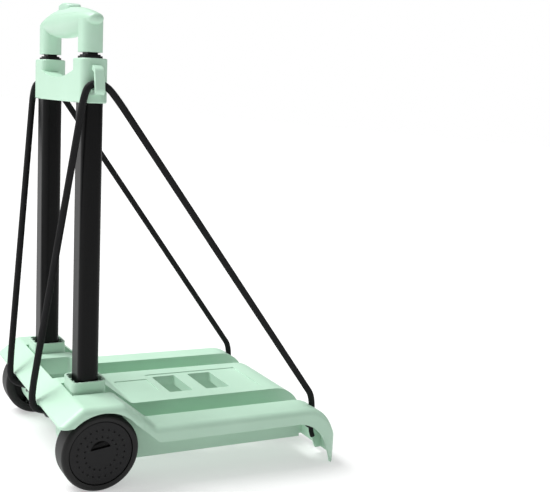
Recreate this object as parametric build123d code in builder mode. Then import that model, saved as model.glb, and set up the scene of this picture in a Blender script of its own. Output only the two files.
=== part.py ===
from build123d import *

import os
from math import cos, pi, radians, sin, sqrt, tan

# Folding luggage trolley. All sizes are millimetres, angles are degrees.
# The origin is on the floor, under the middle of the trolley's footprint.
# +X is the right-hand side of a person who stands behind the mast and looks
# over the load deck, +Y is forwards over the deck and +Z is up.
# Deck pieces are drawn in a deck frame and mast pieces in a mast frame. Both
# have their origin at the middle of the axle. Along the deck is its Y, and
# up the tubes is the mast's Z. Each finished piece is then put in its place.

# ---- stance ----
WHEEL_DIAMETER = 76.0
DECK_PITCH = 1.6            # the deck rises a little towards the front
MAST_LEAN = 3.5             # the mast leans back from upright
SIDES = {"left": -1, "right": 1}

# ---- load deck ----
WALL = 3.0
DECK_TOP = 18.8             # above the axle
FENDER_STEP = 7.2           # the deck's side is this far inside the fender's
DECK_FRONT_CORNER = 18.0
FENDER_GAP = 3.2            # between a tyre's face and its fender
FENDER_END = 34.0           # where the fender starts to narrow
FENDER_BLEND = 17.0
REAR_EDGE = -42.0
HUMP_DROP = 16.7            # from the hump's top to the rear edge
REAR_CORNER = 9.0
HUMP_COVER = 6.2            # from a wheel arch to the hump's top
HUMP_REAR = -21.5
HUMP_FRONT = 19.5
SLOPE_FOOT = 56.0
ROLL_START = 229.0          # the deck starts to roll down into the front lip
ROLL_RADIUS = 36.0
ROLL_SWEEP = 57.0
LIP_RADIUS = 75.0
LIP_SWEEP = 28.0
LIP_WIDTH = 7.0             # thickness of the lip's foot
SKIRT_EDGE = 3.0            # lower edge of the deck's side skirts
LIP_ARCH = 7.0              # how far the lip's middle stands off the floor
FOOT_LENGTH = 12.0          # width of each foot at the lip's ends
LIP_BACK = 6.0              # the lip's inner curve starts this far behind the roll's end
LIP_DROP = 38.8             # and this far below the deck's top
REAR_EDGE_THICK = 2.6
SKIRT_START = 60.0          # the side skirts start here, in front of the wheel arches
ARCH_GAP = 3.5              # between a tyre and its wheel arch
ARCH_REAR = 29.0            # how far behind the axle an arch reaches
ARCH_RISE = 42.0            # degrees above the axle where an arch ends in front
TOP_ROUNDING = 7.0          # outer rounding of the deck's long edges

# ---- grooves for the folded tubes ----
GROOVE_GAP_IN = 1.2        # beside a socket, towards the deck's middle
GROOVE_GAP_OUT = 3.5       # beside a socket, towards the wheel
GROOVE_GAP_LOW = 2.9        # under a folded socket
GROOVE_RUN = 9.0            # the grooves' floors end this far into the roll
FLOOR = 2.5
BOX_WALL = 3.0

# ---- windows and ribs ----
WINDOW_HALF = 29.0
WINDOW_SPANS = [(110.0, 137.7), (154.3, 183.2)]
WINDOW_RIM = 2.5
WINDOW_RIM_DEPTH = 10.0
REAR_WINDOW_HALF = 35.8
REAR_WINDOW = (-23.0, 15.0)
REAR_RIM_LOW = 29.0
NOTCH_HALF = 36.0
NOTCH_RUN = 18.0            # the notch starts this far into the roll
RECESS_DEPTH = 0.8
RECESSES = [(36.5, 104.0, 219.0), (21.5, 62.0, 100.5)]
RIB = 2.0
WING_RIBS = [74.0, 122.0, 170.0, 214.0]
BAY_RIBS = [100.0, 146.0, 192.0, 232.0]
RIB_LOW = 2.0
ANCHOR_RIB = 48.0           # the rib that the cords' hooks hold on to
ANCHOR_X = 44.0
ANCHOR_RUN = 8.0            # straight wire on each side of the anchor rib
ANCHOR_HEIGHT = 3.0
ANCHOR_HOLE = 3.6
ANCHOR_RIB_LOW = -6.0

# ---- axle and wheels ----
AXLE_DIAMETER = 8.0
RUNNING_FIT = 0.05
AXLE_END_GAP = 0.5          # between the axle's end and the hub cap
AXLE_CHAMFER = 0.8
AXLE_BOSS = 18.0
AXLE_BOSS_HEIGHT = 3.0
WASHER = 1.0
WASHER_DIAMETER = 17.0
AXLE_GAP = 0.3
TYRE_GAP = 2.0              # between a tyre and the axle boss's face
TYRE_WIDTH = 27.8
TYRE_BORE = 63.0
TYRE_SHOULDER = 4.0
HUB_RIM = 2.5
HUB_WEB = 3.0
HUB_BOSS = 17.0
HUB_SPOKES = 6
CAP_THICKNESS = 3.2
CAP_RECESS = 0.7            # the cap sits this far inside the tyre's face
CAP_GAP = 0.5               # between a hub cap and its tyre
MOON_RADIUS = 10.2
MOON_SINK = 2.4             # the recess's round side is centred this far below its flat side
MOON_EDGE = 4.6             # the recess's flat side above the wheel's centre
MOON_DEPTH = 2.4
PUSH_NUT = 2.0

# ---- mast: sockets and tubes ----
TUBE_X = 74.6
SOCKET_SIDE = 3.4          # socket wall beside the tube
SOCKET_FACE = 6.6           # socket wall in front of the tube and behind it
SOCKET_TOP = 58.7
SOCKET_CORNER = 7.0
SOCKET_MOUTH = 12.0
SOCKET_RIM = 2.0
TUBE_WIDTH = 31.0
TUBE_THICK = 21.0
TUBE_CORNER = 7.0
TUBE_WALL = 1.5
PRESS = 0.1
STAGE_GAP = 1.4
STAGE_WALL = 1.2
TUBE_FOOT = 14.0
SOCKET_PIN_DIAMETER = 4.0
SOCKET_PIN_HEIGHT = 32.0
MIDDLE_FOOT = 42.0
INNER_FOOT = 60.0
GLIDE = 14.0
SLIDE_FIT = 0.3

# ---- bracket ----
BRACKET_LOW = 333.3
BRACKET_HEIGHT = 43.0
BOSS_SIDE = 3.3             # bracket wall beside the tube
BOSS_FACE = 2.8             # bracket wall in front of the tube and behind it
BOSS_CORNER = 8.0
BOSS_ROOF = 4.0
BEAM_END = 30.0
BEAM_MIDDLE = 24.0
BEAM_THICK = 17.0
HOOK_ARM = 4.8
HOOK_DEPTH = 9.0
HOOK_REACH = 16.8
HOOK_HEIGHT = 22.0
HOOK_LOW = 8.3              # lower face of the hook above the bracket's foot
COLLAR_HEIGHT = 2.2
COLLAR_INSET = 1.0          # an outer collar's sides inside its tube's
MIDDLE_COLLAR_HEIGHT = 1.2
MIDDLE_STAND = 0.3

# ---- handle ----
LEG_SIDE = 5.0              # handle wall beside the inner tube
LEG_FACE = 5.3              # handle wall in front of the inner tube and behind it
LEG_GAP = 2.0               # between the middle collar and the handle's legs
LEG_SOCKET = 25.0
GRIP_RISE = 17.0            # from the legs' foot to the bar's underside
GRIP_SAG = 1.2
GRIP_TIP_RISE = 32.0        # from the legs' foot to the bar's tips
GRIP_TIP_ROUND = 5.5
GRIP_SHOULDER = 91.0
GRIP_SECTIONS = [0.0, 20.0, 40.0, 58.0, 74.0, 86.0, 91.0]
GRIP_HEIGHT = 30.4          # of the bar at its middle
GRIP_HALF = 96.5
GRIP_THICK = 27.0
GRIP_END_THICK = 15.0
GRIP_WALL = 2.6
SPLIT_DROP = 9.0            # the shells' split line below the top of the handle
BUTTON_LENGTH = 42.0
BUTTON_WIDTH = 15.0
BUTTON_PROUD = 4.1
BUTTON_TRAVEL = 3.5
BUTTON_GAP = 0.4
BUTTON_DOME = 3.2
BUTTON_ROUND = 1.8
YOKE_THICK = 3.0
YOKE_WIDTH = 7.0
YOKE_DROP = 4.5             # the yoke's top below the shells' split
ROD_DIAMETER = 3.0
SPRING_DIAMETER = 9.0
SPRING_WIRE = 1.0
SPRING_TURNS = 4
SCREW_DIAMETER = 3.0
SCREW_HEAD = 6.0
SCREW_HEAD_HEIGHT = 2.0
SCREW_DEPTH = 4.5           # the head's seat above the grip's underside
SCREW_GRIP = 5.0            # thread in the upper shell
SCREW_X = 45.0

# ---- cords ----
CORD_DIAMETER = 7.0
CORD_HOLE = 9.0
CORD_HOLE_X = 109.0
CORD_HOLE_RUN = 18.0        # the cord holes are this far into the roll
KNOT_WIDTH = 16.0
KNOT_HEIGHT = 20.0
BINDING_DIAMETER = 14.0
BINDING_LENGTH = 22.0
HOOK_WIRE = 2.6
HOOK_BEND = 3.5
HOOK_SHANK = 8.0            # straight wire out of the binding
HOOK_LEG = 10.0             # the hook's leg behind the anchor rib
HOOK_TIP = 5.0
KNOT_SEAT = 5.0             # where the cord ends inside its knot

# The right cord, from the top of its knot, up through the hole in the deck,
# over the bracket's hook, down to the deck's rear edge and round it.
CORD_ROUTE = [
    (109.0, 131.8, 49.9),
    (109.0, 131.5, 68.9),
    (100.0, -119.4, 380.9),
    (100.0, -130.0, 389.5),
    (100.0, -142.0, 389.3),
    (100.0, -148.3, 381.6),
    (50.0, -163.7, 78.7),
    (49.5, -162.7, 63.7),
    (47.5, -157.0, 56.6),
    (44.0, -145.5, 53.8),
]

# ---- places that follow from the sizes above ----
socket_width = TUBE_WIDTH + 2 * SOCKET_SIDE
socket_thick = TUBE_THICK + 2 * SOCKET_FACE
boss_width = TUBE_WIDTH + 2 * BOSS_SIDE
boss_thick = TUBE_THICK + 2 * BOSS_FACE
groove_in = TUBE_X - socket_width / 2 - GROOVE_GAP_IN
groove_out = TUBE_X + socket_width / 2 + GROOVE_GAP_OUT
groove_depth = -(socket_thick / 2 + GROOVE_GAP_LOW)
groove_centre = (groove_in + groove_out) / 2
boss_face = groove_out + BOX_WALL + AXLE_BOSS_HEIGHT
hub_inner = boss_face + WASHER + AXLE_GAP
tyre_inner_face = boss_face + TYRE_GAP
tyre_face = tyre_inner_face + TYRE_WIDTH
cap_inner = tyre_face - CAP_RECESS - CAP_THICKNESS
axle_half = cap_inner - AXLE_END_GAP
push_nut_start = axle_half - 0.4 - PUSH_NUT
hub_outer = push_nut_start - AXLE_GAP
fender_half = tyre_face + FENDER_GAP + WALL
deck_half = fender_half - FENDER_STEP

wheel_radius = WHEEL_DIAMETER / 2
arch_radius = wheel_radius + ARCH_GAP
hump_top = arch_radius + HUMP_COVER
rear_edge_top = hump_top - HUMP_DROP
roll_angle = radians(ROLL_SWEEP)
lip_angle = radians(ROLL_SWEEP + LIP_SWEEP)
roll_end_y = ROLL_START + ROLL_RADIUS * sin(roll_angle)
roll_end_z = DECK_TOP - ROLL_RADIUS * (1 - cos(roll_angle))
lip_end_y = roll_end_y + LIP_RADIUS * (sin(lip_angle) - sin(roll_angle))
lip_end_z = roll_end_z - LIP_RADIUS * (cos(roll_angle) - cos(lip_angle))
foot_back_y = lip_end_y - LIP_WIDTH
foot_low = -(wheel_radius + foot_back_y * sin(radians(DECK_PITCH))) / cos(radians(DECK_PITCH))
front_reach = lip_end_y + 1.0
lip_inner_low = (roll_end_y - LIP_BACK, DECK_TOP - LIP_DROP)
lip_inner_middle = (lip_inner_low[0] - 11.5, lip_inner_low[1] + 14.5)
lip_inner_high = (lip_inner_low[0] - 31.5, SKIRT_EDGE)
arch_back = (-ARCH_REAR, sqrt(arch_radius**2 - ARCH_REAR**2))
arch_front = (arch_radius * cos(radians(ARCH_RISE)), arch_radius * sin(radians(ARCH_RISE)))
deck_middle = (front_reach + REAR_EDGE) / 2
groove_end = ROLL_START + GROOVE_RUN
notch_start = ROLL_START + NOTCH_RUN
cord_hole_y = ROLL_START + CORD_HOLE_RUN
groove_width = groove_out - groove_in + 2 * BOX_WALL
box_low = groove_depth - FLOOR
rear_low, rear_high = REAR_WINDOW
wing_middle = (groove_out + deck_half) / 2

axle_point = (0, -deck_middle, wheel_radius)
deck_frame = Location(axle_point, (DECK_PITCH, 0, 0))
mast_frame = Location(axle_point, (MAST_LEAN, 0, 0))

bracket_top = BRACKET_LOW + BRACKET_HEIGHT
middle_width = TUBE_WIDTH - 2 * (TUBE_WALL + STAGE_GAP)
middle_thick = TUBE_THICK - 2 * (TUBE_WALL + STAGE_GAP)
middle_corner = TUBE_CORNER - TUBE_WALL - STAGE_GAP
inner_width = middle_width - 2 * (STAGE_WALL + STAGE_GAP)
inner_thick = middle_thick - 2 * (STAGE_WALL + STAGE_GAP)
inner_corner = middle_corner - STAGE_WALL - STAGE_GAP
collar_top = bracket_top + COLLAR_HEIGHT
middle_top = collar_top + MIDDLE_STAND
middle_collar_top = middle_top + MIDDLE_COLLAR_HEIGHT
leg_low = middle_collar_top + LEG_GAP
leg_width = inner_width + 2 * LEG_SIDE
leg_thick = inner_thick + 2 * LEG_FACE
grip_low = leg_low + GRIP_RISE
grip_tip = leg_low + GRIP_TIP_RISE
grip_top = grip_low + GRIP_HEIGHT
split_height = grip_top - SPLIT_DROP

os.makedirs("parts", exist_ok=True)


def write(piece, name, frame=Location()):
    """Put a piece drawn in its own frame in its place and save it."""
    piece.part.locate(frame)
    piece.part.label = name
    export_step(piece.part, f"parts/{name}.step")


def tube_section(width, thick, corner, wall):
    """Draw one tube's cross-section into the sketch that is open."""
    RectangleRounded(width, thick, corner)
    RectangleRounded(width - 2 * wall, thick - 2 * wall, max(corner - wall, 0.8), mode=Mode.SUBTRACT)


def side_of(piece, side):
    """Mirror a piece made for the right side, if it is for the left one."""
    if side < 0:
        piece.part = piece.part.mirror(Plane.YZ)
    return piece


# ---- load deck ----
def deck_top_line():
    """Draw the deck's upper side profile, from the rear edge to the lip's foot."""
    slope = Polyline(
        (REAR_EDGE, rear_edge_top),
        (HUMP_REAR, hump_top),
        (HUMP_FRONT, hump_top),
        (SLOPE_FOOT, DECK_TOP),
        (ROLL_START, DECK_TOP),
    )
    roll = JernArc(slope @ 1, (1, 0), ROLL_RADIUS, -ROLL_SWEEP)
    JernArc(roll @ 1, roll % 1, LIP_RADIUS, -LIP_SWEEP)


def round_hump_corners():
    """Round the three corners of the hump in the sketch that is open."""
    corners = vertices().filter_by(lambda v: abs(v.Y - hump_top) < 0.01 or
                                   (abs(v.X - SLOPE_FOOT) < 0.01 and abs(v.Y - DECK_TOP) < 0.01))
    fillet(corners, 9)


with BuildSketch(Plane.YZ) as skin_profile:
    with BuildLine():
        deck_top_line()
        Polyline((lip_end_y, lip_end_z), (lip_end_y, foot_low), (foot_back_y, foot_low), lip_inner_low)
        ThreePointArc(lip_inner_low, lip_inner_middle, lip_inner_high)
        Polyline(lip_inner_high, (SKIRT_START, SKIRT_EDGE), arch_front)
        ThreePointArc(arch_front, (0, arch_radius), arch_back)
        Polyline(arch_back, (REAR_EDGE, rear_edge_top - REAR_EDGE_THICK), (REAR_EDGE, rear_edge_top))
    make_face()
    round_hump_corners()

with BuildSketch(Plane.YZ) as filled_profile:
    with BuildLine():
        deck_top_line()
        Polyline(
            (lip_end_y, lip_end_z),
            (lip_end_y, foot_low - 20),
            (REAR_EDGE, foot_low - 20),
            (REAR_EDGE, rear_edge_top),
        )
    make_face()
    round_hump_corners()

with BuildSketch(Plane.YZ) as hollow_profile:
    add(filled_profile.sketch_local)
    offset(amount=-WALL, kind=Kind.INTERSECTION, mode=Mode.REPLACE)

with BuildSketch() as corner_outline:
    with BuildLine():
        Polyline(
            (0, REAR_EDGE),
            (fender_half, REAR_EDGE),
            (fender_half, deck_middle),
            (deck_half, deck_middle),
            (deck_half, front_reach),
            (0, front_reach),
        )
        mirror(about=Plane.YZ)
    make_face()
    fillet(vertices().group_by(Axis.Y)[-1], DECK_FRONT_CORNER)
    fillet(vertices().group_by(Axis.Y)[0], REAR_CORNER)


def deck_body(profile, inset, rounding):
    """Make the deck's filled body, drawn in by an inset, with rounded long edges."""
    fender_side = fender_half - inset
    deck_side = deck_half - inset
    with BuildSketch() as sides:
        with BuildLine():
            Polyline((0, REAR_EDGE - 20), (fender_side, REAR_EDGE - 20), (fender_side, FENDER_END))
            Spline((fender_side, FENDER_END), (deck_side, FENDER_END + FENDER_BLEND), tangents=[(0, 1), (0, 1)])
            Polyline((deck_side, FENDER_END + FENDER_BLEND), (deck_side, front_reach + 20),
                     (0, front_reach + 20))
            mirror(about=Plane.YZ)
        make_face()
    with BuildSketch() as corners:
        add(corner_outline.sketch)
        offset(amount=-inset, mode=Mode.REPLACE)
    with BuildPart() as body:
        extrude(profile.sketch, amount=2 * fender_half, both=True)
        extrude(sides.sketch, amount=100, both=True, mode=Mode.INTERSECT)
        top_faces = faces().filter_by(lambda face: face.normal_at().Z > 0.05)
        side_faces = faces().filter_by(lambda face: abs(face.normal_at().Z) < 0.01 and
                                       abs(face.normal_at().X) > 0.3)
        long_edges = side_faces.edges().filter_by(
            lambda edge: any(edge.is_same(other) for other in top_faces.edges()))
        fillet(long_edges, rounding)
        extrude(corners.sketch, amount=100, both=True, mode=Mode.INTERSECT)
    return body


deck_filled = deck_body(filled_profile, 0.0, TOP_ROUNDING)
deck_hollow = deck_body(hollow_profile, WALL, TOP_ROUNDING - WALL)

# The space under the deck's skin. Walls beside the grooves, the rails and the
# notch stay, because their strips are taken out of it.
with BuildPart() as hollow:
    add(deck_hollow.part)
    with Locations((groove_centre, groove_end / 2 - 50, 0), (-groove_centre, groove_end / 2 - 50, 0)):
        Box(groove_width, groove_end + 100, 200, mode=Mode.SUBTRACT)
    inner_wall = groove_in - BOX_WALL / 2
    outer_wall = groove_out + BOX_WALL / 2
    with Locations(*[(wall_x, groove_end, 0) for wall_x in (-outer_wall, -inner_wall, inner_wall, outer_wall)]):
        Box(BOX_WALL, 200, 200, mode=Mode.SUBTRACT)
    with Locations((NOTCH_HALF + WALL / 2, notch_start + 50, 0), (-NOTCH_HALF - WALL / 2, notch_start + 50, 0)):
        Box(WALL, 100 + 2 * WALL, 200, mode=Mode.SUBTRACT)
    with Locations((0, notch_start - WALL / 2, 0)):
        Box(2 * NOTCH_HALF + 2 * WALL, WALL, 200, mode=Mode.SUBTRACT)

with BuildPart() as groove_box:
    with BuildSketch(Plane.YZ.offset(groove_in - BOX_WALL)):
        with BuildLine():
            Polyline((0, box_low), (groove_end, box_low), (groove_end, 60), (box_low, 60), (box_low, 0))
            RadiusArc((box_low, 0), (0, box_low), box_low)
        make_face()
    extrude(amount=groove_width)
    add(deck_filled.part, mode=Mode.INTERSECT)

with BuildPart() as groove_space:
    with BuildSketch(Plane.YZ.offset(groove_in)):
        with BuildLine():
            Polyline((0, groove_depth), (330, groove_depth), (330, 80), (groove_depth, 80), (groove_depth, 0))
            RadiusArc((groove_depth, 0), (0, groove_depth), groove_depth)
        make_face()
    extrude(amount=groove_out - groove_in)

with BuildPart() as deck_rims:
    for low, high in WINDOW_SPANS:
        with Locations((0, (low + high) / 2, DECK_TOP - WALL / 2 - WINDOW_RIM_DEPTH / 2)):
            Box(2 * (WINDOW_HALF + WINDOW_RIM), high - low + 2 * WINDOW_RIM, WINDOW_RIM_DEPTH)
    with Locations((0, (rear_low + rear_high) / 2, (REAR_RIM_LOW + hump_top) / 2)):
        Box(2 * (REAR_WINDOW_HALF + WINDOW_RIM), rear_high - rear_low + 2 * WINDOW_RIM, hump_top - REAR_RIM_LOW)
    for rib_y in BAY_RIBS:
        with Locations((0, rib_y, (DECK_TOP - 1 + RIB_LOW) / 2)):
            Box(2 * groove_in - BOX_WALL, RIB, DECK_TOP - 1 - RIB_LOW)
    with Locations((0, ANCHOR_RIB, (DECK_TOP + ANCHOR_RIB_LOW) / 2)):
        Box(2 * groove_in - BOX_WALL, RIB, DECK_TOP - ANCHOR_RIB_LOW)
    for rib_y in WING_RIBS:
        rib_place = (wing_middle, rib_y, (DECK_TOP - 1 + SKIRT_EDGE + 2) / 2)
        with Locations(rib_place, (-rib_place[0], rib_place[1], rib_place[2])):
            Box(deck_half - groove_out - WALL, RIB, DECK_TOP - 3 - SKIRT_EDGE)
    add(deck_filled.part, mode=Mode.INTERSECT)

with BuildPart() as base_plate:
    add(deck_filled.part)
    extrude(skin_profile.sketch, amount=2 * fender_half, both=True, mode=Mode.INTERSECT)
    add(hollow.part, mode=Mode.SUBTRACT)
    # The lip's middle stands clear of the floor, between a foot at each end.
    with Locations((0, lip_end_y, foot_low)):
        Box(2 * (deck_half - FOOT_LENGTH), 60, 2 * LIP_ARCH, mode=Mode.SUBTRACT)
    add(groove_box.part)
    add(groove_box.part.mirror(Plane.YZ))
    add(deck_rims.part)
    add(groove_space.part, mode=Mode.SUBTRACT)
    add(groove_space.part.mirror(Plane.YZ), mode=Mode.SUBTRACT)
    # windows, rear window and the notch between the front rails
    for low, high in WINDOW_SPANS:
        with BuildSketch(Plane.XY.offset(-30)):
            with Locations((0, (low + high) / 2)):
                RectangleRounded(2 * WINDOW_HALF, high - low, 2.5)
        extrude(amount=60, mode=Mode.SUBTRACT)
    with BuildSketch(Plane.XY.offset(-30)):
        with Locations((0, (rear_low + rear_high) / 2)):
            RectangleRounded(2 * REAR_WINDOW_HALF, rear_high - rear_low, 4)
    extrude(amount=100, mode=Mode.SUBTRACT)
    with Locations((0, notch_start + 50, 0)):
        Box(2 * NOTCH_HALF, 100, 200, mode=Mode.SUBTRACT)
    for half, low, high in RECESSES:
        with Locations((0, (low + high) / 2, DECK_TOP)):
            Box(2 * half, high - low, 2 * RECESS_DEPTH, mode=Mode.SUBTRACT)
    # axle bosses on the groove boxes and the axle's bore through them
    boss_faces = [(groove_out + BOX_WALL, 1), (-groove_out - BOX_WALL, -1)]
    for face_x, way in boss_faces:
        with BuildSketch(Plane((face_x, 0, 0), x_dir=(0, 1, 0), z_dir=(way, 0, 0))):
            Circle(AXLE_BOSS / 2)
        extrude(amount=AXLE_BOSS_HEIGHT)
    with BuildSketch(Plane.YZ):
        Circle(AXLE_DIAMETER / 2 + RUNNING_FIT)
    extrude(amount=fender_half, both=True, mode=Mode.SUBTRACT)
    # cord holes through the roll and hook holes in the anchor rib
    with BuildSketch(Plane.XY):
        with Locations((CORD_HOLE_X, cord_hole_y), (-CORD_HOLE_X, cord_hole_y)):
            Circle(CORD_HOLE / 2)
    extrude(amount=40, mode=Mode.SUBTRACT)
    with BuildSketch(Plane.XZ.offset(-ANCHOR_RIB - 5)):
        with Locations((ANCHOR_X, ANCHOR_HEIGHT), (-ANCHOR_X, ANCHOR_HEIGHT)):
            Circle(ANCHOR_HOLE)
    extrude(amount=10, mode=Mode.SUBTRACT)
write(base_plate, "base_plate", deck_frame)


# ---- axle, washers and push nuts ----
def axle_rod():
    """Make the steel axle, fixed in the deck's walls."""
    with BuildPart() as rod:
        with BuildSketch(Plane.YZ):
            Circle(AXLE_DIAMETER / 2)
        extrude(amount=axle_half, both=True)
        chamfer(rod.edges().filter_by(GeomType.CIRCLE), AXLE_CHAMFER)
    return rod


def axle_ring(start, thickness, diameter):
    """Make a pair of equal rings on the axle, one on each side."""
    with BuildPart() as rings:
        with BuildSketch(Plane.YZ.offset(start)):
            Circle(diameter / 2)
            Circle(AXLE_DIAMETER / 2, mode=Mode.SUBTRACT)
        extrude(amount=thickness)
        mirror(about=Plane.YZ)
    return rings


write(axle_rod(), "axle", deck_frame)
write(axle_ring(boss_face, WASHER, WASHER_DIAMETER), "axle_washers", deck_frame)
write(axle_ring(push_nut_start, PUSH_NUT, HUB_BOSS - 3), "axle_push_nuts", deck_frame)


# ---- wheels ----
def wheel_tyre():
    """Make one tyre, with rounded shoulders."""
    with BuildPart() as tyre:
        with BuildSketch(Plane.XZ):
            with Locations((tyre_inner_face + TYRE_WIDTH / 2, (wheel_radius + TYRE_BORE / 2) / 2)):
                Rectangle(TYRE_WIDTH, wheel_radius - TYRE_BORE / 2)
            fillet(vertices().group_by(Axis.Y)[-1], TYRE_SHOULDER)
        revolve(axis=Axis.X)
    return tyre


def wheel_hub():
    """Make one hub: rim, web with spokes, and the boss that runs on the axle."""
    rim_outer = TYRE_BORE / 2
    rim_inner = rim_outer - HUB_RIM
    rim_start = tyre_inner_face + 1
    web_x = (rim_start + cap_inner) / 2
    bore = AXLE_DIAMETER / 2 + RUNNING_FIT
    with BuildPart() as hub:
        with BuildSketch(Plane.XZ):
            with Locations(((rim_start + cap_inner) / 2, (rim_outer + rim_inner) / 2)):
                Rectangle(cap_inner - rim_start, HUB_RIM)
            with Locations((web_x, (rim_inner + bore) / 2)):
                Rectangle(HUB_WEB, rim_inner - bore)
            with Locations(((hub_inner + hub_outer) / 2, (HUB_BOSS / 2 + bore) / 2)):
                Rectangle(hub_outer - hub_inner, HUB_BOSS / 2 - bore)
        revolve(axis=Axis.X)
        with BuildSketch(Plane.YZ.offset(rim_start + 2)):
            with PolarLocations((rim_inner + HUB_BOSS / 2) / 2, HUB_SPOKES):
                Rectangle(rim_inner - HUB_BOSS / 2 + 1, HUB_RIM)
        extrude(amount=cap_inner - rim_start - 5)
    return hub


def wheel_cap():
    """Make one hub cap: a disc with a half-moon recess above its middle."""
    with BuildPart() as cap:
        with BuildSketch(Plane.YZ.offset(cap_inner)):
            Circle(TYRE_BORE / 2 - CAP_GAP)
        extrude(amount=CAP_THICKNESS)
        chamfer(cap.edges().filter_by(GeomType.CIRCLE).sort_by(Axis.X)[-1], 0.5)
        with BuildSketch(Plane.YZ.offset(cap_inner + CAP_THICKNESS)):
            with Locations((0, MOON_EDGE - MOON_SINK)):
                Circle(MOON_RADIUS)
            with Locations((0, MOON_EDGE - MOON_RADIUS)):
                Rectangle(4 * MOON_RADIUS, 2 * MOON_RADIUS, mode=Mode.SUBTRACT)
        extrude(amount=-MOON_DEPTH, mode=Mode.SUBTRACT)
    return cap


for side_name, side_sign in SIDES.items():
    write(side_of(wheel_tyre(), side_sign), f"tyre_{side_name}", deck_frame)
    write(side_of(wheel_hub(), side_sign), f"wheel_hub_{side_name}", deck_frame)
    write(side_of(wheel_cap(), side_sign), f"hub_cap_{side_name}", deck_frame)


# ---- sockets and telescoping tubes ----
def tube_socket():
    """Make one tube socket: a block with a round foot that turns on the axle."""
    half = socket_thick / 2
    with BuildPart() as socket:
        with BuildSketch(Plane.YZ.offset(TUBE_X - socket_width / 2)):
            with BuildLine():
                Polyline((half, 0), (half, SOCKET_TOP), (-half, SOCKET_TOP), (-half, 0))
                RadiusArc((-half, 0), (half, 0), -half)
            make_face()
        extrude(amount=socket_width)
        fillet(socket.edges().filter_by(Axis.Z), SOCKET_CORNER)
        with BuildSketch(Plane.XY.offset(SOCKET_TOP)):
            with Locations((TUBE_X, 0)):
                RectangleRounded(socket_width - 2 * SOCKET_RIM, socket_thick - 2 * SOCKET_RIM,
                                 SOCKET_CORNER - SOCKET_RIM)
        extrude(amount=-SOCKET_MOUTH, mode=Mode.SUBTRACT)
        with BuildSketch(Plane.XY.offset(TUBE_FOOT)):
            with Locations((TUBE_X, 0)):
                RectangleRounded(TUBE_WIDTH + 2 * PRESS, TUBE_THICK + 2 * PRESS, TUBE_CORNER + PRESS)
        extrude(amount=SOCKET_TOP, mode=Mode.SUBTRACT)
        with BuildSketch(Plane.YZ):
            Circle(AXLE_DIAMETER / 2 + RUNNING_FIT)
            with Locations((0, SOCKET_PIN_HEIGHT)):
                Circle(SOCKET_PIN_DIAMETER / 2)
        extrude(amount=2 * TUBE_X, mode=Mode.SUBTRACT)
    return socket


def socket_pins():
    """Make the two cross pins that hold the outer tubes in their sockets."""
    with BuildPart() as pins:
        with BuildSketch(Plane.YZ.offset(TUBE_X - socket_width / 2 + 1)):
            with Locations((0, SOCKET_PIN_HEIGHT)):
                Circle(SOCKET_PIN_DIAMETER / 2)
        extrude(amount=socket_width - 2)
        mirror(about=Plane.YZ)
    return pins


def stage_tube(width, thick, corner, wall, low, high):
    """Make one tube of the telescope between two heights."""
    with BuildPart() as tube:
        with BuildSketch(Plane.XY.offset(low)):
            with Locations((TUBE_X, 0)):
                tube_section(width, thick, corner, wall)
        extrude(amount=high - low)
    return tube


def outer_stage():
    """Make one outer tube, drilled for its socket's pin."""
    tube = stage_tube(TUBE_WIDTH, TUBE_THICK, TUBE_CORNER, TUBE_WALL, TUBE_FOOT, bracket_top - BOSS_ROOF)
    with BuildPart() as drilled:
        add(tube.part)
        with BuildSketch(Plane.YZ):
            with Locations((0, SOCKET_PIN_HEIGHT)):
                Circle(SOCKET_PIN_DIAMETER / 2)
        extrude(amount=2 * TUBE_X, mode=Mode.SUBTRACT)
    return drilled


def collar(width, thick, corner, low, high, bore_width, bore_thick, spigot, spigot_low):
    """Make a collar: a flange on a tube's end and a spigot down inside the tube."""
    bore_corner = max(corner - (width - bore_width) / 2, 0.8)
    with BuildPart() as ring:
        with BuildSketch(Plane.XY.offset(low)):
            with Locations((TUBE_X, 0)):
                RectangleRounded(width, thick, corner)
                RectangleRounded(bore_width, bore_thick, bore_corner, mode=Mode.SUBTRACT)
        extrude(amount=high - low)
        with BuildSketch(Plane.XY.offset(spigot_low)):
            with Locations((TUBE_X, 0)):
                RectangleRounded(bore_width + 2 * spigot, bore_thick + 2 * spigot, bore_corner + spigot)
                RectangleRounded(bore_width, bore_thick, bore_corner, mode=Mode.SUBTRACT)
        extrude(amount=low - spigot_low)
    return ring


def glide(tube_width, tube_thick, tube_corner, tube_wall, sleeve, foot):
    """Make the plastic shoe round a sliding tube's lower end."""
    with BuildPart() as shoe:
        with BuildSketch(Plane.XY.offset(foot - 2)):
            with Locations((TUBE_X, 0)):
                tube_section(tube_width + 2 * sleeve, tube_thick + 2 * sleeve, tube_corner + sleeve,
                             sleeve + tube_wall)
        extrude(amount=2)
        with BuildSketch(Plane.XY.offset(foot)):
            with Locations((TUBE_X, 0)):
                tube_section(tube_width + 2 * sleeve, tube_thick + 2 * sleeve, tube_corner + sleeve, sleeve)
        extrude(amount=GLIDE)
    return shoe


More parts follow.
